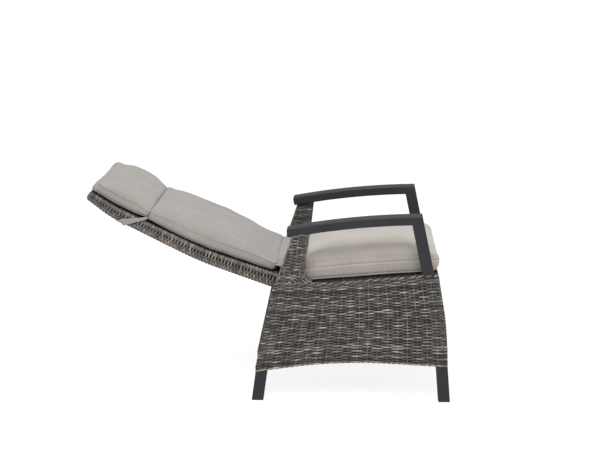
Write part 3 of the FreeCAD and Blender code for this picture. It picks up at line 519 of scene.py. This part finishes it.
def weave_rims(panel, work):
    """Rows over the thickness of the rim and the lower edge, and a twisted pair along each."""
    sign = panel.sign
    depth = np.arange(panel.inside + RADIUS, panel.out - STRAND, STRAND * 0.98)
    rear_rim = panel.ends(panel.shelf - 0.004)[0]
    rear_low = panel.ends(panel.low.z + 0.01)[0]
    for curve, offset, start, wave, drop, twist, pitch in (
            (panel.top, -0.006, rear_rim + 0.005, 0.0022, HOLLOW, 0.0034, 0.062),
            (panel.bottom, RADIUS, rear_low + 0.004, 0.0009, 0.0, 0.002, 0.036)):
        last = panel.ends(float(curve(panel.high.x - 0.03)) + offset)[1]
        xs = np.arange(start, last - 0.004, STEP)
        for i, y in enumerate(depth):
            lift = wave * np.sin(pi * xs / STAKE_GAP + pi * i)
            sunk = panel.sunk(xs, y)
            # painted shade where the row dips and where the rim sinks under the cushion
            work.add(np.stack([xs, np.full_like(xs, sign * y), curve(xs) + offset + lift - drop * sunk], 1),
                     recess=0.25 + 0.7 * sunk - 0.2 * lift / wave, flat=1.0)
        for phase in (0.0, pi):
            turn = 2 * pi * xs / pitch + phase
            y = sign * (panel.out - 0.0024 - 0.6 * twist + twist * np.cos(turn))
            z = curve(xs) + offset * 0.8 + twist * np.sin(turn)
            # painted shade on the inner turns of the twisted pair
            work.add(np.stack([xs, y, z], 1), radius=0.0027, flat=1.0, tone=0.85,
                     recess=0.35 - 0.35 * np.cos(turn))


def weave_post(side, sign, seed):
    """Close weave round the post under the rear of the armrest, edged with single strands."""
    node = "post_weave_" + side
    tree = tree_of(node)
    low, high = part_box(node)
    out, inside = max(abs(low.y), abs(high.y)), min(abs(low.y), abs(high.y))
    work = Strands(seed)
    probe = sign * (out - 0.002)
    slope = 0.07
    for row, z in enumerate(np.arange(low.z + 0.004 + RADIUS, high.z - 0.003, ROW * 0.97)):
        rear, front = span(tree, probe, z, z)
        climbed = z + slope * (front - rear)
        front = span(tree, probe, z, min(max(climbed, low.z + 0.006), high.z - 0.004))[1]
        # rows get painted shade where they go in behind a stake
        outer, inner = [swinging(swing, rear, POST_GAP, pi * row) for swing in (0.003, 0.0012)]
        plan = round_panel(rear + RADIUS, front - RADIUS, out + 0.0004 - DEPTH, inside + 0.001, outer, inner)
        work.add(np.column_stack([plan[:, 0], sign * plan[:, 1], z + slope * (plan[:, 0] - rear)]),
                 closed=True, recess=plan[:, 2])
    levels = low.z + 0.0045 + (high.z - low.z - 0.0075) * np.linspace(0.0, 1.0, 90) ** 2
    spans = [(z, *span(tree, probe, z, z)) for z in levels]
    for k in range(1, 8):
        path = [(front - k * POST_GAP, sign * (out - 0.0035), z) for z, rear, front in spans
                if front - k * POST_GAP > rear + 0.008]
        if len(path) > 8:
            work.add(path, radius=0.0019, flat=1.0, tone=0.85, up=(0, sign, 0))
    for which, shift in ((1, 0.0015), (2, -0.0015)):
        for inset in (0.0016, *np.arange(0.008, out - inside, STRAND)) if which == 2 else (0.0016,):
            # edge strands set further in get more painted shade
            path = [(ends[which] + shift, sign * (out - inset), ends[0]) for ends in spans]
            work.add(path, radius=0.0026, flat=1.0, tone=0.8, up=(0, sign, 0),
                     recess=min(inset * 60.0, 0.8))
    work.finish("woven_post_" + side, "base", node)


def weave_apron(name, node, seed):
    """Panel between the legs: rows over stakes, with twisted pairs along its edges."""
    tree = tree_of(node)
    low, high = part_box(node)
    work = Strands(seed)
    half = high.y
    twist = 0.034

    def centre_x(z):
        z = min(max(z, low.z + 0.03), high.z - 0.004)
        return sum(span(tree, 0.0, z, z)) / 2

    def arch(y):
        return 0.02 * (1 - (y / half) ** 2)

    heights = np.linspace(low.z, high.z, 40)
    centres = [centre_x(z) for z in heights]
    ys = np.linspace(-half - 0.003, half + 0.003, 90)
    rows = int(round((high.z - low.z) / ROW))
    for row in range(rows):
        wave = np.cos(pi * (ys + half) / STAKE_GAP + pi * row)
        # a front and a back layer of rows: the back layer gets more painted shade, and each row a little more
        # where it swings furthest
        for layer, swing, sunk in ((0.0, 0.0021, 0.3), (0.5, -0.0012, 0.6)):
            share = (row + 0.5 + layer) / (rows + 0.5)
            z = low.z + share * (high.z - low.z) + arch(ys) * (1 - share)
            work.add(np.stack([np.interp(z, heights, centres) + swing * wave, ys, z], 1), radius=0.0031,
                     recess=sunk + 0.1 * np.abs(wave))
    for k in range(1, int(2 * half / STAKE_GAP)):
        y = -half + k * STAKE_GAP
        levels = np.linspace(low.z + arch(y), high.z - RADIUS, 24)
        work.add(np.column_stack([np.interp(levels, heights, centres), np.full(24, y), levels]),
                 radius=0.0021, flat=1.0, up=(1, 0, 0), tone=0.85)
    for phase in (0.0, pi):
        for base, bow in ((high.z - 0.002, 0.0), (low.z + 0.003, arch(ys))):
            turn = 2 * pi * ys / twist + phase
            z = base + bow + 0.0018 * np.sin(turn)
            work.add(np.stack([centre_x(base) + 0.0022 * np.cos(turn), ys, z], 1), radius=0.0025, flat=1.0,
                     tone=0.75)
    work.finish(name, "base", node)


def weave_deck():
    """Seat deck: close rows across the chair under the cushion."""
    low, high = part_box("seat_deck_weave")
    work = Strands(seed=41)
    thick = 0.01
    slope = (high.z - low.z - thick) / (high.x - low.x)
    half = high.y - 0.003
    line = np.arange(-half, half, 0.012)
    for i, x in enumerate(np.arange(low.x + 0.004, high.x - 0.003, ROW)):
        wave = np.cos(pi * (line + half) / STAKE_GAP + pi * i)
        z = low.z + thick / 2 + slope * (x - low.x) + 0.001 * wave
        # painted shadow: the deck's rows get deep painted shade, standing in for the cushion's shadow over them
        work.add(np.stack([np.full_like(line, x), line, z], 1), recess=0.9 - 0.1 * wave)
    work.finish("woven_seat_deck", "base", "seat_deck_weave")


# ---- woven back ----
def back_profile():
    """Rear and front face of the back in side view, from its CAD skin, at even steps along it."""
    tree = tree_of("back_weave")
    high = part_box("back_weave")[1]
    pivot = Vector([j for j in frame["joints"] if j["name"] == "back_recline"][0]["pos_m"])
    slope = radians(19.5)
    place = Vector((pivot.x - 0.045, high.y - 0.002, pivot.z + 0.014))
    heading = Vector((-cos(slope), 0.0, sin(slope)))
    stations, middles = [], []
    while len(stations) < 600:
        normal = Vector((heading.z, 0.0, -heading.x))
        front = hit(tree, place + normal * 0.2, -normal)
        rear = hit(tree, place - normal * 0.2, normal)
        if front is None or rear is None:
            break
        stations.append((rear.x, rear.z, front.x, front.z))
        middles.append((front + rear) / 2)
        if len(middles) > 12:
            heading = (middles[-1] - middles[-13]).normalized()
        place = middles[-1] + heading * 0.002
    return np.array(stations)


def weave_back(profile):
    """Rows that go right round the back, over its two side edges, with stakes along it."""
    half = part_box("back_weave")[1].y
    run = run_along((profile[:, :2] + profile[:, 2:]) / 2)
    work = Strands(seed=51)
    radius, flat = 0.0031, 0.85
    depth = radius * flat

    def station(at):
        rear, front = sampled(at, run, profile).reshape(2, 2, *np.shape(at))
        thick = np.hypot(*(front - rear))
        return rear, (front - rear) / thick, thick

    def lay(at, share, inset, y, **looks):
        rear, normal, thick = station(at)
        x, z = rear + normal * (thick * share + inset)
        work.add(np.column_stack([x, np.broadcast_to(y, x.shape), z]), flat=1.0, **looks)

    # each row's tone is random, but kept to the light end as painted light that the back's ribs catch
    tones_with_painted_light = 0.62 + 0.42 * work.random.random(int(run[-1] / BACK_ROW))
    for row in range(len(tones_with_painted_light)):
        # rows get painted shade where they go in behind a stake and where they sit in over a side edge
        rear, normal, thick = station((row + 0.5) * BACK_ROW)
        face = swinging(0.0038, -half, STAKE_GAP, pi * row)

        def edge(c):
            above = eased(c / thick, 0.26, 0.4)
            wave = above if row % 2 else 1.0 - above
            return 0.0044 * wave, wave

        plan = round_panel(-half + depth, half - depth, depth, thick - depth, face, face, edge, step=0.0085)
        along, across, recess = plan.T
        path = np.column_stack([rear[0] + normal[0] * across, along, rear[1] + normal[1] * across])
        work.add(path, closed=True, radius=radius, flat=flat, sides=5, up=(-normal[1], 0.0, normal[0]),
                 recess=recess, tone=float(tones_with_painted_light[row]))
    at = np.arange(0.0, run[-1], 0.012)
    for k in range(1, int(2 * half / STAKE_GAP)):
        for share, inset in ((0.0, 0.0042), (1.0, -0.0042)):
            lay(at, share, inset, -half + k * STAKE_GAP, radius=0.0021, sides=5, up=(0, 1, 0), tone=0.8)
    twist = 0.025
    close = np.arange(0.002, run[-1] - 0.002, 0.003)
    for sign in (-1.0, 1.0):
        # a thin dark strand along each side, with painted shade, and a twisted pair with painted shade on its
        # inner turns
        lay(at, 0.33, 0.0, sign * (half - 0.004), radius=0.0017, up=(0, 1, 0), tone=0.3, recess=0.6)
        for phase in (0.0, pi):
            turn = 2 * pi * close / twist + phase
            lay(close, 0.0, 0.0028 + 0.002 * np.sin(turn), sign * (half - 0.0026 + 0.0018 * np.cos(turn)),
                radius=0.0029, tone=0.6, recess=0.4 - 0.4 * np.cos(turn))
    work.finish("woven_back", "back", "back_weave")


# ---- cushions ----
def slab(name, length, width, thick, radius, voxel):
    """Closed slab with a rounded plan, in even quads; x runs along it, y across and z up."""
    plan = []
    far, side = length - radius, width / 2 - radius
    for quarter, (x, y) in enumerate(((far, side), (radius, side), (radius, -side), (far, -side))):
        for turn in np.linspace(quarter * pi / 2, (quarter + 1) * pi / 2, 7):
            plan.append((x + radius * cos(turn), y + radius * sin(turn)))
    count = len(plan)
    vertices = [(x, y, 0.0) for x, y in plan] + [(x, y, thick) for x, y in plan]
    faces = [list(range(count))[::-1], list(range(count, 2 * count))]
    faces += [[i, (i + 1) % count, (i + 1) % count + count, i + count] for i in range(count)]
    piece = new_mesh(name, vertices, faces)
    configure(piece.modifiers.new("even", "REMESH"), mode="VOXEL", voxel_size=voxel)
    apply_modifiers(piece)
    return piece


def configure(target, **settings):
    """Sets several properties."""
    for name, value in settings.items():
        setattr(target, name, value)


def apply_modifiers(piece):
    """Makes what the modifiers give the piece's own smooth-shaded mesh."""
    graph = bpy.context.evaluated_depsgraph_get()
    graph.update()
    mesh = bpy.data.meshes.new_from_object(piece.evaluated_get(graph))
    mesh.polygons.foreach_set("use_smooth", [True] * len(mesh.polygons))
    old = piece.data
    piece.modifiers.clear()
    piece.data = mesh
    mesh.name = piece.name
    bpy.data.meshes.remove(old)


def read(items, name, width=3, kind=float):
    """One property of every item of a mesh, a row each."""
    values = np.empty(len(items) * width, kind)
    items.foreach_get(name, values)
    return values.reshape(-1, width)


def set_points(piece, points):
    """Moves a piece's points."""
    piece.data.vertices.foreach_set("co", points.ravel())
    piece.data.update()


def edge_distance(points, length, width, radius):
    """How far in from the plan's outline each point is, seen from above."""
    dx = np.abs(points[:, 0] - length / 2) - (length / 2 - radius)
    dy = np.abs(points[:, 1]) - (width / 2 - radius)
    outside = np.hypot(np.maximum(dx, 0), np.maximum(dy, 0))
    return radius - (outside + np.minimum(np.maximum(dx, dy), 0))


def inflate(piece, held, pressure, spread, cap):
    """Points of the fabric filled with pressure; held is how firmly each is kept, 0 to 1.

    No point moves further than cap, and most of the movement is evened out.
    """
    start = read(piece.data.vertices, "co")
    group = piece.vertex_groups.new(name="held")
    for index in np.nonzero(held > 0.01)[0]:
        group.add([int(index)], float(held[index]), "REPLACE")
    cloth = piece.modifiers.new("filling", "CLOTH")
    configure(cloth.settings, quality=6, mass=0.25, tension_stiffness=18.0, compression_stiffness=18.0,
              shear_stiffness=6.0, bending_stiffness=1.2, use_pressure=True,
              uniform_pressure_force=pressure, shrink_min=-spread, shrink_max=-spread,
              vertex_group_mass="held", pin_stiffness=4.0)
    cloth.settings.effector_weights.gravity = 0.0
    cloth.collision_settings.use_collision = False
    frames = 20
    cloth.point_cache.frame_start = 1
    cloth.point_cache.frame_end = frames
    for number in range(1, frames + 1):
        scene.frame_set(number)
    filled = read(piece.evaluated_get(bpy.context.evaluated_depsgraph_get()).data.vertices, "co")
    piece.modifiers.clear()
    piece.vertex_groups.clear()
    scene.frame_set(1)
    move = filled - start
    far = np.linalg.norm(move, axis=1)
    move *= (np.minimum(far, cap) / np.maximum(far, 1e-9))[:, None]
    kept = 0.12
    return start + kept * move + (1 - kept) * evened(piece.data, move, 90)


def evened(mesh, values, rounds):
    """Values on a mesh's points, each round averaged with those of their neighbours."""
    a, b = read(mesh.edges, "vertices", 2, np.int32).T
    ends = np.concatenate([a, b])
    others = np.concatenate([b, a])[np.argsort(ends, kind="stable")]
    count = np.bincount(ends, minlength=len(values))
    first = np.concatenate([[0], np.cumsum(count)[:-1]])
    for _ in range(rounds):
        values = 0.5 * values + 0.5 * np.add.reduceat(values[others], first) / count[:, None]
    return values


def finer(piece):
    """Eases sharp creases and subdivides once; what is stored on the points goes along."""
    configure(piece.modifiers.new("ease", "SMOOTH"), factor=0.5, iterations=3)
    configure(piece.modifiers.new("finer", "SUBSURF"), levels=1, render_levels=1)
    apply_modifiers(piece)


def wave_noise(points, seed, size):
    """Smooth seeded unevenness from a few crossed waves, about -1 to 1."""
    random = np.random.default_rng(seed)
    total = np.zeros(len(points))
    for _ in range(10):
        heading = random.normal(size=3)
        heading /= np.linalg.norm(heading)
        pitch = size * random.uniform(0.6, 1.6)
        total += np.sin(points @ heading * 2 * pi / pitch + random.uniform(0, 2 * pi))
    return total / 4.0


def cushion(name, length, width, thick, radius, seams, crown, pressure, spread, seed, shape=None,
            uneven=0.0011):
    """Boxed cushion in its own frame: fabric filled between its seams, which are then drawn in.

    seams are the heights of the seams right round its side. crown is how far in from the ends and from the
    sides the top still rises, and the share of the height above the upper seam that this rise takes.
    """
    piece = slab(name, length, width, thick, radius, 0.006)
    rest = read(piece.data.vertices, "co")
    inside = edge_distance(rest, length, width, radius)
    start = rest.copy()
    top = np.clip((rest[:, 2] - seams[-1]) / (thick - seams[-1]), 0, 1)
    from_end = np.clip((length / 2 - np.abs(rest[:, 0] - length / 2)) / crown[0], 0, 1)
    from_side = np.clip((width / 2 - np.abs(rest[:, 1])) / crown[1], 0, 1)
    rise = np.sqrt(1 - (1 - from_end) ** 2) * np.sqrt(1 - (1 - from_side) ** 2)
    start[:, 2] -= top * (1 - rise) * (thick - seams[-1]) * crown[2]
    along, across = rest[:, 0] / length, rest[:, 1] / width + 0.5
    for axis, place, other in ((1, across, along), (0, along, across)):
        away = 2 * place - 1
        start[:, axis] -= np.sign(away) * 0.004 * np.sin(pi * np.clip(other, 0, 1)) * np.abs(away) ** 3
    if shape:
        start = shape(start, rest)
    set_points(piece, start)
    stored = piece.data.attributes.new("rest_place", "FLOAT_VECTOR", "POINT")
    stored.data.foreach_set("vector", rest.astype(np.float32).ravel())
    side = np.clip(1 - inside / 0.012, 0, 1)
    held = np.clip(1 - rest[:, 2] / 0.008, 0, 1)
    for height in seams:
        held = np.maximum(held, side * np.clip(1.4 - np.abs(rest[:, 2] - height) / 0.004, 0, 1))
    set_points(piece, inflate(piece, held, pressure, spread, 0.026))
    finer(piece)
    sew(piece, length, width, radius, seams, seed, uneven)
    return piece


def sew(piece, length, width, radius, seams, seed, uneven):
    """Draws the seams in as narrow grooves with small puckers beside them."""
    rest = read(piece.data.attributes["rest_place"].data, "vector")
    normals = read(piece.data.vertices, "normal")
    side = np.clip(1 - edge_distance(rest, length, width, radius) / 0.02, 0, 1)
    depth = uneven * wave_noise(rest, seed, 0.1)
    around = np.arctan2(rest[:, 1], rest[:, 0] - length / 2)
    run = (rest[:, 0] + rest[:, 1]) / 0.0125
    for height in seams:
        depth += side * np.exp(-((rest[:, 2] - height) / 0.0032) ** 2) * 0.0026
        near = side * np.exp(-((rest[:, 2] - height) / 0.016) ** 2)
        depth += near * 0.0005 * np.sin(run * 2 * pi + 2 * np.sin(around * 9))
    set_points(piece, read(piece.data.vertices, "co") - normals * depth[:, None])


def seat_shape(start, rest):
    """The front leans forwards, the rear is lower, and a shallow trough runs in from each side's roll."""
    up = np.clip(rest[:, 2] / 0.1, 0, 1)
    start[:, 0] += 0.012 * np.clip((rest[:, 0] - 0.3) / 0.14, 0, 1) * np.sin(pi * up)
    start[:, 2] -= 0.004 * np.clip((0.1 - rest[:, 0]) / 0.1, 0, 1) ** 2 * up
    start[:, 2] -= 0.009 * eased(rest[:, 0], 0.34, 0.47) * up
    trough = np.exp(-((0.248 - np.abs(rest[:, 1]) - 0.088) / 0.026) ** 2)
    start[:, 2] -= 0.008 * trough * np.clip((rest[:, 2] - 0.07) / 0.02, 0, 1)
    return start


def place_flat(piece, origin, slope):
    """Lays a cushion made in its own frame on a sloping plane, its x running forwards."""
    x, y, z = read(piece.data.vertices, "co").T
    c, s = cos(slope), sin(slope)
    set_points(piece, np.column_stack([origin[0] + x * c - z * s, y, origin[1] + x * s + z * c]))


class BackLine:
    """Front face of the woven back in side view, as a smooth line that cushions are laid along."""

    def __init__(self, profile):
        reach = 12
        self.line = averaged(profile[:, 2:], reach)
        self.line[:reach], self.line[-reach:] = profile[:reach, 2:], profile[-reach:, 2:]
        self.run = run_along(self.line)

    def at(self, s):
        """Place and heading (x, z, tx, tz) at distances along it; it runs on straight past its ends."""
        s = np.asarray(s, float)
        look = 0.012
        end = self.run[-1]
        place, ahead, behind = [sampled(at, self.run, self.line) for at in (
            s, np.clip(s + look, None, end), np.clip(s - look, 0.0, None))]
        heading = (ahead - behind) / np.hypot(*(ahead - behind))
        return (*(place + heading * (s - np.clip(s, 0.0, end))), *heading)

    def lay(self, points, start):
        """Points in a cushion's own frame, laid on the back: x runs from the seat end to the head."""
        x, z, tx, tz = self.at(points[:, 0] + start)
        rise = points[:, 2] + CUSHION_GAP
        return np.column_stack([x + tz * rise, points[:, 1], z - tx * rise])


def powers(points, length):
    """Products of powers of two plan coordinates, for fitting a smooth surface to a cushion's top."""
    u, v = points[:, 0] / length - 0.5, points[:, 1] * 4.0
    return np.column_stack([u ** i * v ** j for i in range(7) for j in range(5)])


def lay_on_back(piece, node, start, thick, seam, extra, ends, tie, lean=0.0, taper=0.0):
    """Lays a cushion along the back, its crown scaled to the top of its CAD solid plus extra.

    It is pressed flat at its two ends, thinned by the share taper towards the seat and drawn in by lean at
    the head, and two corners are drawn in to the tie.
    """
    tree = tree_of(node)
    points = read(piece.data.vertices, "co")
    length = points[:, 0].max()
    at = np.linspace(0.06 * length, 0.94 * length, 24)
    tops = []
    for x, z, tx, tz in zip(*line.at(at + start)):
        normal = Vector((tz, 0.0, -tx))
        base = Vector((x, 0.0, z))
        found = hit(tree, base + normal * 0.15, -normal)
        tops.append((found - base).length - CUSHION_GAP if found else thick)
    half, margin = 0.19, 0.08      # the crown is measured inside these limits and runs on level past them
    inner = ((points[:, 2] > seam) & (np.abs(points[:, 1]) < half)
             & (np.abs(points[:, 0] - length / 2) < (0.5 - margin) * length))
    surface = np.linalg.lstsq(powers(points[inner], length), points[inner, 2], rcond=None)[0]
    nearest = np.column_stack([np.clip(points[:, 0], margin * length, (1 - margin) * length),
                               np.clip(points[:, 1], -half, half)])
    reached = powers(nearest, length) @ surface
    wanted = np.polyval(np.polyfit(at, tops, 3), nearest[:, 0])
    wanted += np.interp(points[:, 0] / length, (0.02, 0.25, 0.55, 0.95), extra)
    wanted -= 0.004 * (nearest[:, 1] / half) ** 2
    above = np.maximum(points[:, 2] - seam, 0)
    points[:, 2] = np.minimum(points[:, 2], seam) + above * (wanted - seam) / (reached - seam)
    points[:, 2] *= 1.0 - taper * (1.0 - eased(points[:, 0] / length, 0.0, 0.22))
    top = np.clip(points[:, 2] / thick, 0, 1)
    points[:, 0] -= lean * eased(points[:, 0], length - 0.08, length) * top
    reach = np.array([0.05, 0.03, 0.022])
    for side in (-1.0, 1.0):
        target = np.array([tie, side * 0.24, 0.02])
        pull = 0.6 * np.exp(-(((points - target) / reach) ** 2).sum(1))
        points += pull[:, None] * (target - points)
    points[:, 0] = np.clip(points[:, 0], *ends)
    set_points(piece, line.lay(points, start))


def wind_spring():
    """Coil spring behind the release button, wound at its full length on the base."""
    low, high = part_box("button_spring")
    centre = (low + high) / 2
    wire, turns, count = 0.00045, 6, 240
    radius = (high.x - low.x) / 2 - wire
    turn = np.linspace(0.0, turns * 2 * pi, count)
    path = np.column_stack([centre.x + radius * np.cos(turn), np.linspace(low.y + wire, high.y - wire, count),
                            centre.z + radius * np.sin(turn)])
    work = Strands(seed=61)
    work.add(path, radius=wire, flat=1.0, sides=8, up=(0, 1, 0))
    spring = work.mesh("button_coil")
    finish(spring, steel, "steel", "base", "button_spring")
    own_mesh(spring)


# ---- strap and flap ----
def ribbon(name, centres, acrosses, widths, thick):
    """Flat strap: a closed strip with rounded edges along centres, each with its own across vector."""
    count = 10
    vertices, faces = [], []
    for i, (centre, across, width) in enumerate(zip(centres, acrosses, widths)):
        centre, across = Vector(centre), Vector(across).normalized()
        ahead = Vector(centres[min(i + 1, len(centres) - 1)]) - Vector(centres[max(i - 1, 0)])
        normal = across.cross(ahead).normalized()
        for t in np.linspace(0.0, 2 * pi, count, endpoint=False):
            reach = abs(cos(t)) ** 0.5 * (1 if cos(t) > 0 else -1)
            vertices.append(centre + across * (reach * width / 2) + normal * (sin(t) * thick / 2))
    last = (len(centres) - 1) * count
    for a in range(last):
        b = a + 1 if (a + 1) % count else a + 1 - count
        faces.append((a, b, b + count, a + count))
    faces += [list(range(count))[::-1], list(range(last, last + count))]
    return new_mesh(name, vertices, faces)


def make_strap():
    """Strap from the cushions' crease down over one side of the shell, under it and up again."""
    x0, z0, tx, tz = (float(value) for value in line.at(CREASE))
    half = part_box("back_weave")[1].y
    top = Vector((x0 + tz * 0.014, 0.0, z0 - tx * 0.014))
    low_x = x0 - 0.092
    under = hit(tree_of("back_weave"), (low_x, half - 0.03, 0.2), (0, 0, 1))
    low = Vector((low_x, 0.0, under.z - 0.0035))
    near = []
    for share, out, width in ((0.0, -0.016, 0.007), (0.03, -0.003, 0.008), (0.09, 0.0035, 0.01),
                              (0.35, 0.0042, 0.014), (0.7, 0.0044, 0.021), (0.95, 0.0042, 0.027),
                              (1.0, -0.006, 0.029), (1.0, -0.03, 0.03)):
        place = top.lerp(low, share)
        near.append((place.x, -half - out, place.z, width))
    middle = [(low.x, y, low.z, 0.03) for y in np.linspace(-half + 0.06, half - 0.06, 9)]
    keys = np.array(near + middle + [(x, -y, z, width) for x, y, z, width in near[::-1]])
    run = run_along(keys[:, :3])
    at = np.linspace(0.0, run[-1], 300)
    dense = averaged(sampled(at, run, keys).T, 3)
    along = Vector((tx, 0.0, tz))
    acrosses = []
    for i in range(len(dense)):
        ahead = Vector(dense[min(i + 1, len(dense) - 1), :3]) - Vector(dense[max(i - 1, 0), :3])
        acrosses.append(along - ahead * (along.dot(ahead) / ahead.length_squared))
    strap = ribbon("head_strap_band", dense[:, :3].tolist(), acrosses, dense[:, 3].tolist(), 0.0022)
    finish(strap, fabric_back, "cushion_fabric", "back", "head_strap")


def make_flap():
    """Fabric sewn between the seat and the back cushion, sagging a little between them."""
    seat_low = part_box("seat_cushion")[0]
    x_back, z_back = (float(value) for value in line.at(0.036)[:2])
    rear, ahead = (x_back + 0.004, z_back + 0.026), (seat_low.x + 0.018, seat_low.z + 0.062)
    half, hem, sag = 0.236, 0.03, 0.006
    rows, columns = 22, 90
    t, y = np.meshgrid(np.linspace(0.0, 1.0, rows), np.linspace(-half, half, columns), indexing="ij")
    edge = np.maximum(0.0, (np.abs(y) - half + hem) / hem)
    ripple = 0.0018 * np.sin(y * 90.0 + 3.0 * t)
    z = rear[1] + (ahead[1] - rear[1]) * t + np.sin(pi * t) * (ripple - sag - sag * edge ** 2)
    vertices = np.stack([rear[0] + (ahead[0] - rear[0]) * t, y, z], -1).reshape(-1, 3).tolist()
    faces = [(a, a + 1, a + 1 + columns, a + columns) for a in range((rows - 1) * columns)
             if (a + 1) % columns]
    flap = new_mesh("cushion_flap", vertices, faces)
    configure(flap.modifiers.new("thickness", "SOLIDIFY"), thickness=0.0024, offset=0.0)
    apply_modifiers(flap)
    finish(flap, fabric_back, "cushion_fabric", None)
    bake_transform(flap)


# ---- camera, floor and light ----
def set_camera():
    """Camera level with the chair's side, a little above it, on the sitter's right."""
    data = bpy.data.cameras.new("camera")
    camera = put("camera", data)
    low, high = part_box("foot_glides")
    camera.location = Vector(((low.x + high.x) / 2, 0.0, 0.0)) + Vector(CAMERA_OFFSET)
    camera.rotation_euler = (pi / 2 - CAMERA_DIP, 0.0, CAMERA_TURN)
    data.sensor_width = 36.0
    data.lens = CAMERA_LENS
    data.dof.use_dof = False
    scene.camera = camera


def set_light():
    """Soft studio light: white all round, one softbox overhead and one in front of the side."""
    world = bpy.data.worlds.new("studio")
    world.use_nodes = True
    colour, strength = world.node_tree.nodes["Background"].inputs[:2]
    colour.default_value = (1.0, 1.0, 1.0, 1.0)
    strength.default_value = WORLD
    scene.world = world
    for name, place, size, power in LAMPS:
        lamp = bpy.data.lights.new(name, "AREA")
        lamp.size = size
        lamp.energy = power
        light = put(name, lamp)
        light.location = place
        aim = Vector((0.1, 0.0, 0.4)) - Vector(place)
        light.rotation_euler = aim.to_track_quat("-Z", "Y").to_euler()
    scene.view_settings.view_transform = "Standard"


def set_floor():
    """Plain white studio floor, a little self-lit so that shadows on it stay faint."""
    half = 40
    floor = new_mesh("floor", [(-half, -half, 0), (half, -half, 0), (half, half, 0), (-half, half, 0)],
                     [(0, 1, 2, 3)])
    n = Nodes("floor_white")
    n.feed(n.shader, {"Base Color": (*grey(FLOOR_BASE), 1.0), "Roughness": 1.0,
                      "Emission Color": (1.0,) * 4, "Emission Strength": FLOOR_GLOW})
    floor.data.materials.append(n.material)


CAMERA_OFFSET = (-0.0202, -4.9947, 1.6261)    # from the middle of the feet
CAMERA_DIP, CAMERA_TURN, CAMERA_LENS = 0.2124, 0.0341, 83.08
WORLD = 0.55
LAMPS = (("key", (0.3, -2.9, 3.7), 2.2, 168.0), ("overhead", (0.3, 0.3, 3.2), 3.0, 36.0))
FLOOR_BASE = 0.2
FLOOR_GLOW = 0.87
set_camera()
set_light()
set_floor()

SEAT_SLOPE = radians(4.8)
strand = strand_material()
# one canvas in two brightnesses, lighter on the seat and darker on the back, head, strap and flap: painted light
# and shade that evens out how differently the lamps light them
fabric_seat = fabric_material("fabric_seat", SEAT_SLOPE, (0.41, 0.376, 0.338), (0.28, 0.257, 0.23))
fabric_back = fabric_material("fabric_back", radians(23.0), (0.268, 0.252, 0.232), (0.188, 0.176, 0.162))
steel = plain_material("zinc_steel", (0.5, 0.5, 0.52), 0.35, 1.0)
FINISH = {"frame_paint": coated_material("powder_coat", (0.012, 0.0114, 0.0142), (0.019, 0.0182, 0.0225)),
          # the bare inner tubes are given a dark brown in place of bare metal: painted shade, so they read as the
          # shadowed inside of the weave
          "bare_tube": coated_material("inner_frame_painted_shade", (0.012, 0.01, 0.009), (0.022, 0.019, 0.017)),
          "cushion_fabric": fabric_back,
          "black_plastic": plain_material("black_plastic", (0.02, 0.02, 0.021), 0.5),
          "rubber": plain_material("stop_rubber", (0.015, 0.015, 0.015), 0.8),
          "steel": steel,
          "cylinder_paint": plain_material("black_lacquer", (0.012, 0.012, 0.013), 0.28),
          "rod_chrome": plain_material("hard_chrome", (0.78, 0.78, 0.8), 0.12, 1.0, spread=0.04),
          "weave": strand}
for part in frame["record"]["subparts"]:
    node = frame["nodes"][part["node"]]
    node.data.materials.clear()
    node.data.materials.append(FINISH[part["material_slot"]])

for side, sign, seed in (("left", 1.0, 11), ("right", -1.0, 12)):
    weave_side(side, sign, seed)
    weave_post(side, sign, seed + 10)
weave_apron("woven_front_apron", "front_apron_weave", 31)
weave_apron("woven_rear_apron", "rear_apron_weave", 32)
weave_deck()
profile = back_profile()
weave_back(profile)

seat_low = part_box("seat_cushion")[0]
seat = cushion("seat_pad", 0.484, 0.496, 0.088, 0.024, (0.006, 0.046), (0.03, 0.055, 0.4), 4.0, 0.002, 3,
               shape=seat_shape)
place_flat(seat, (seat_low.x - 0.004, seat_low.z - 0.0025), SEAT_SLOPE)
finish(seat, fabric_seat, "cushion_fabric", "base", "seat_cushion")

line = BackLine(profile)
CREASE = 0.5185                # distance along the back at which its two cushions meet
back = cushion("back_pad", 0.498, 0.478, 0.058, 0.022, (0.004, 0.032), (0.03, 0.075, 0.6), 4.5, 0.012, 5,
               uneven=0.0015)
lay_on_back(back, "back_cushion", 0.028, 0.058, 0.032, (-0.01, 0.002, 0.0, 0.006),
            (-0.02, CREASE - 0.0288), CREASE - 0.03, taper=0.12)
head = cushion("head_pad", 0.232, 0.478, 0.056, 0.022, (0.004, 0.03), (0.028, 0.065, 0.6), 4.5, 0.012, 7,
               uneven=0.0015)
lay_on_back(head, "head_cushion", 0.513, 0.056, 0.03, (0.016, 0.022, 0.013, 0.004),
            (0.006, 0.3), 0.008, lean=0.03)
for piece, node in ((back, "back_cushion"), (head, "head_cushion")):
    finish(piece, fabric_back, "cushion_fabric", "back", node)
wind_spring()
make_strap()
make_flap()
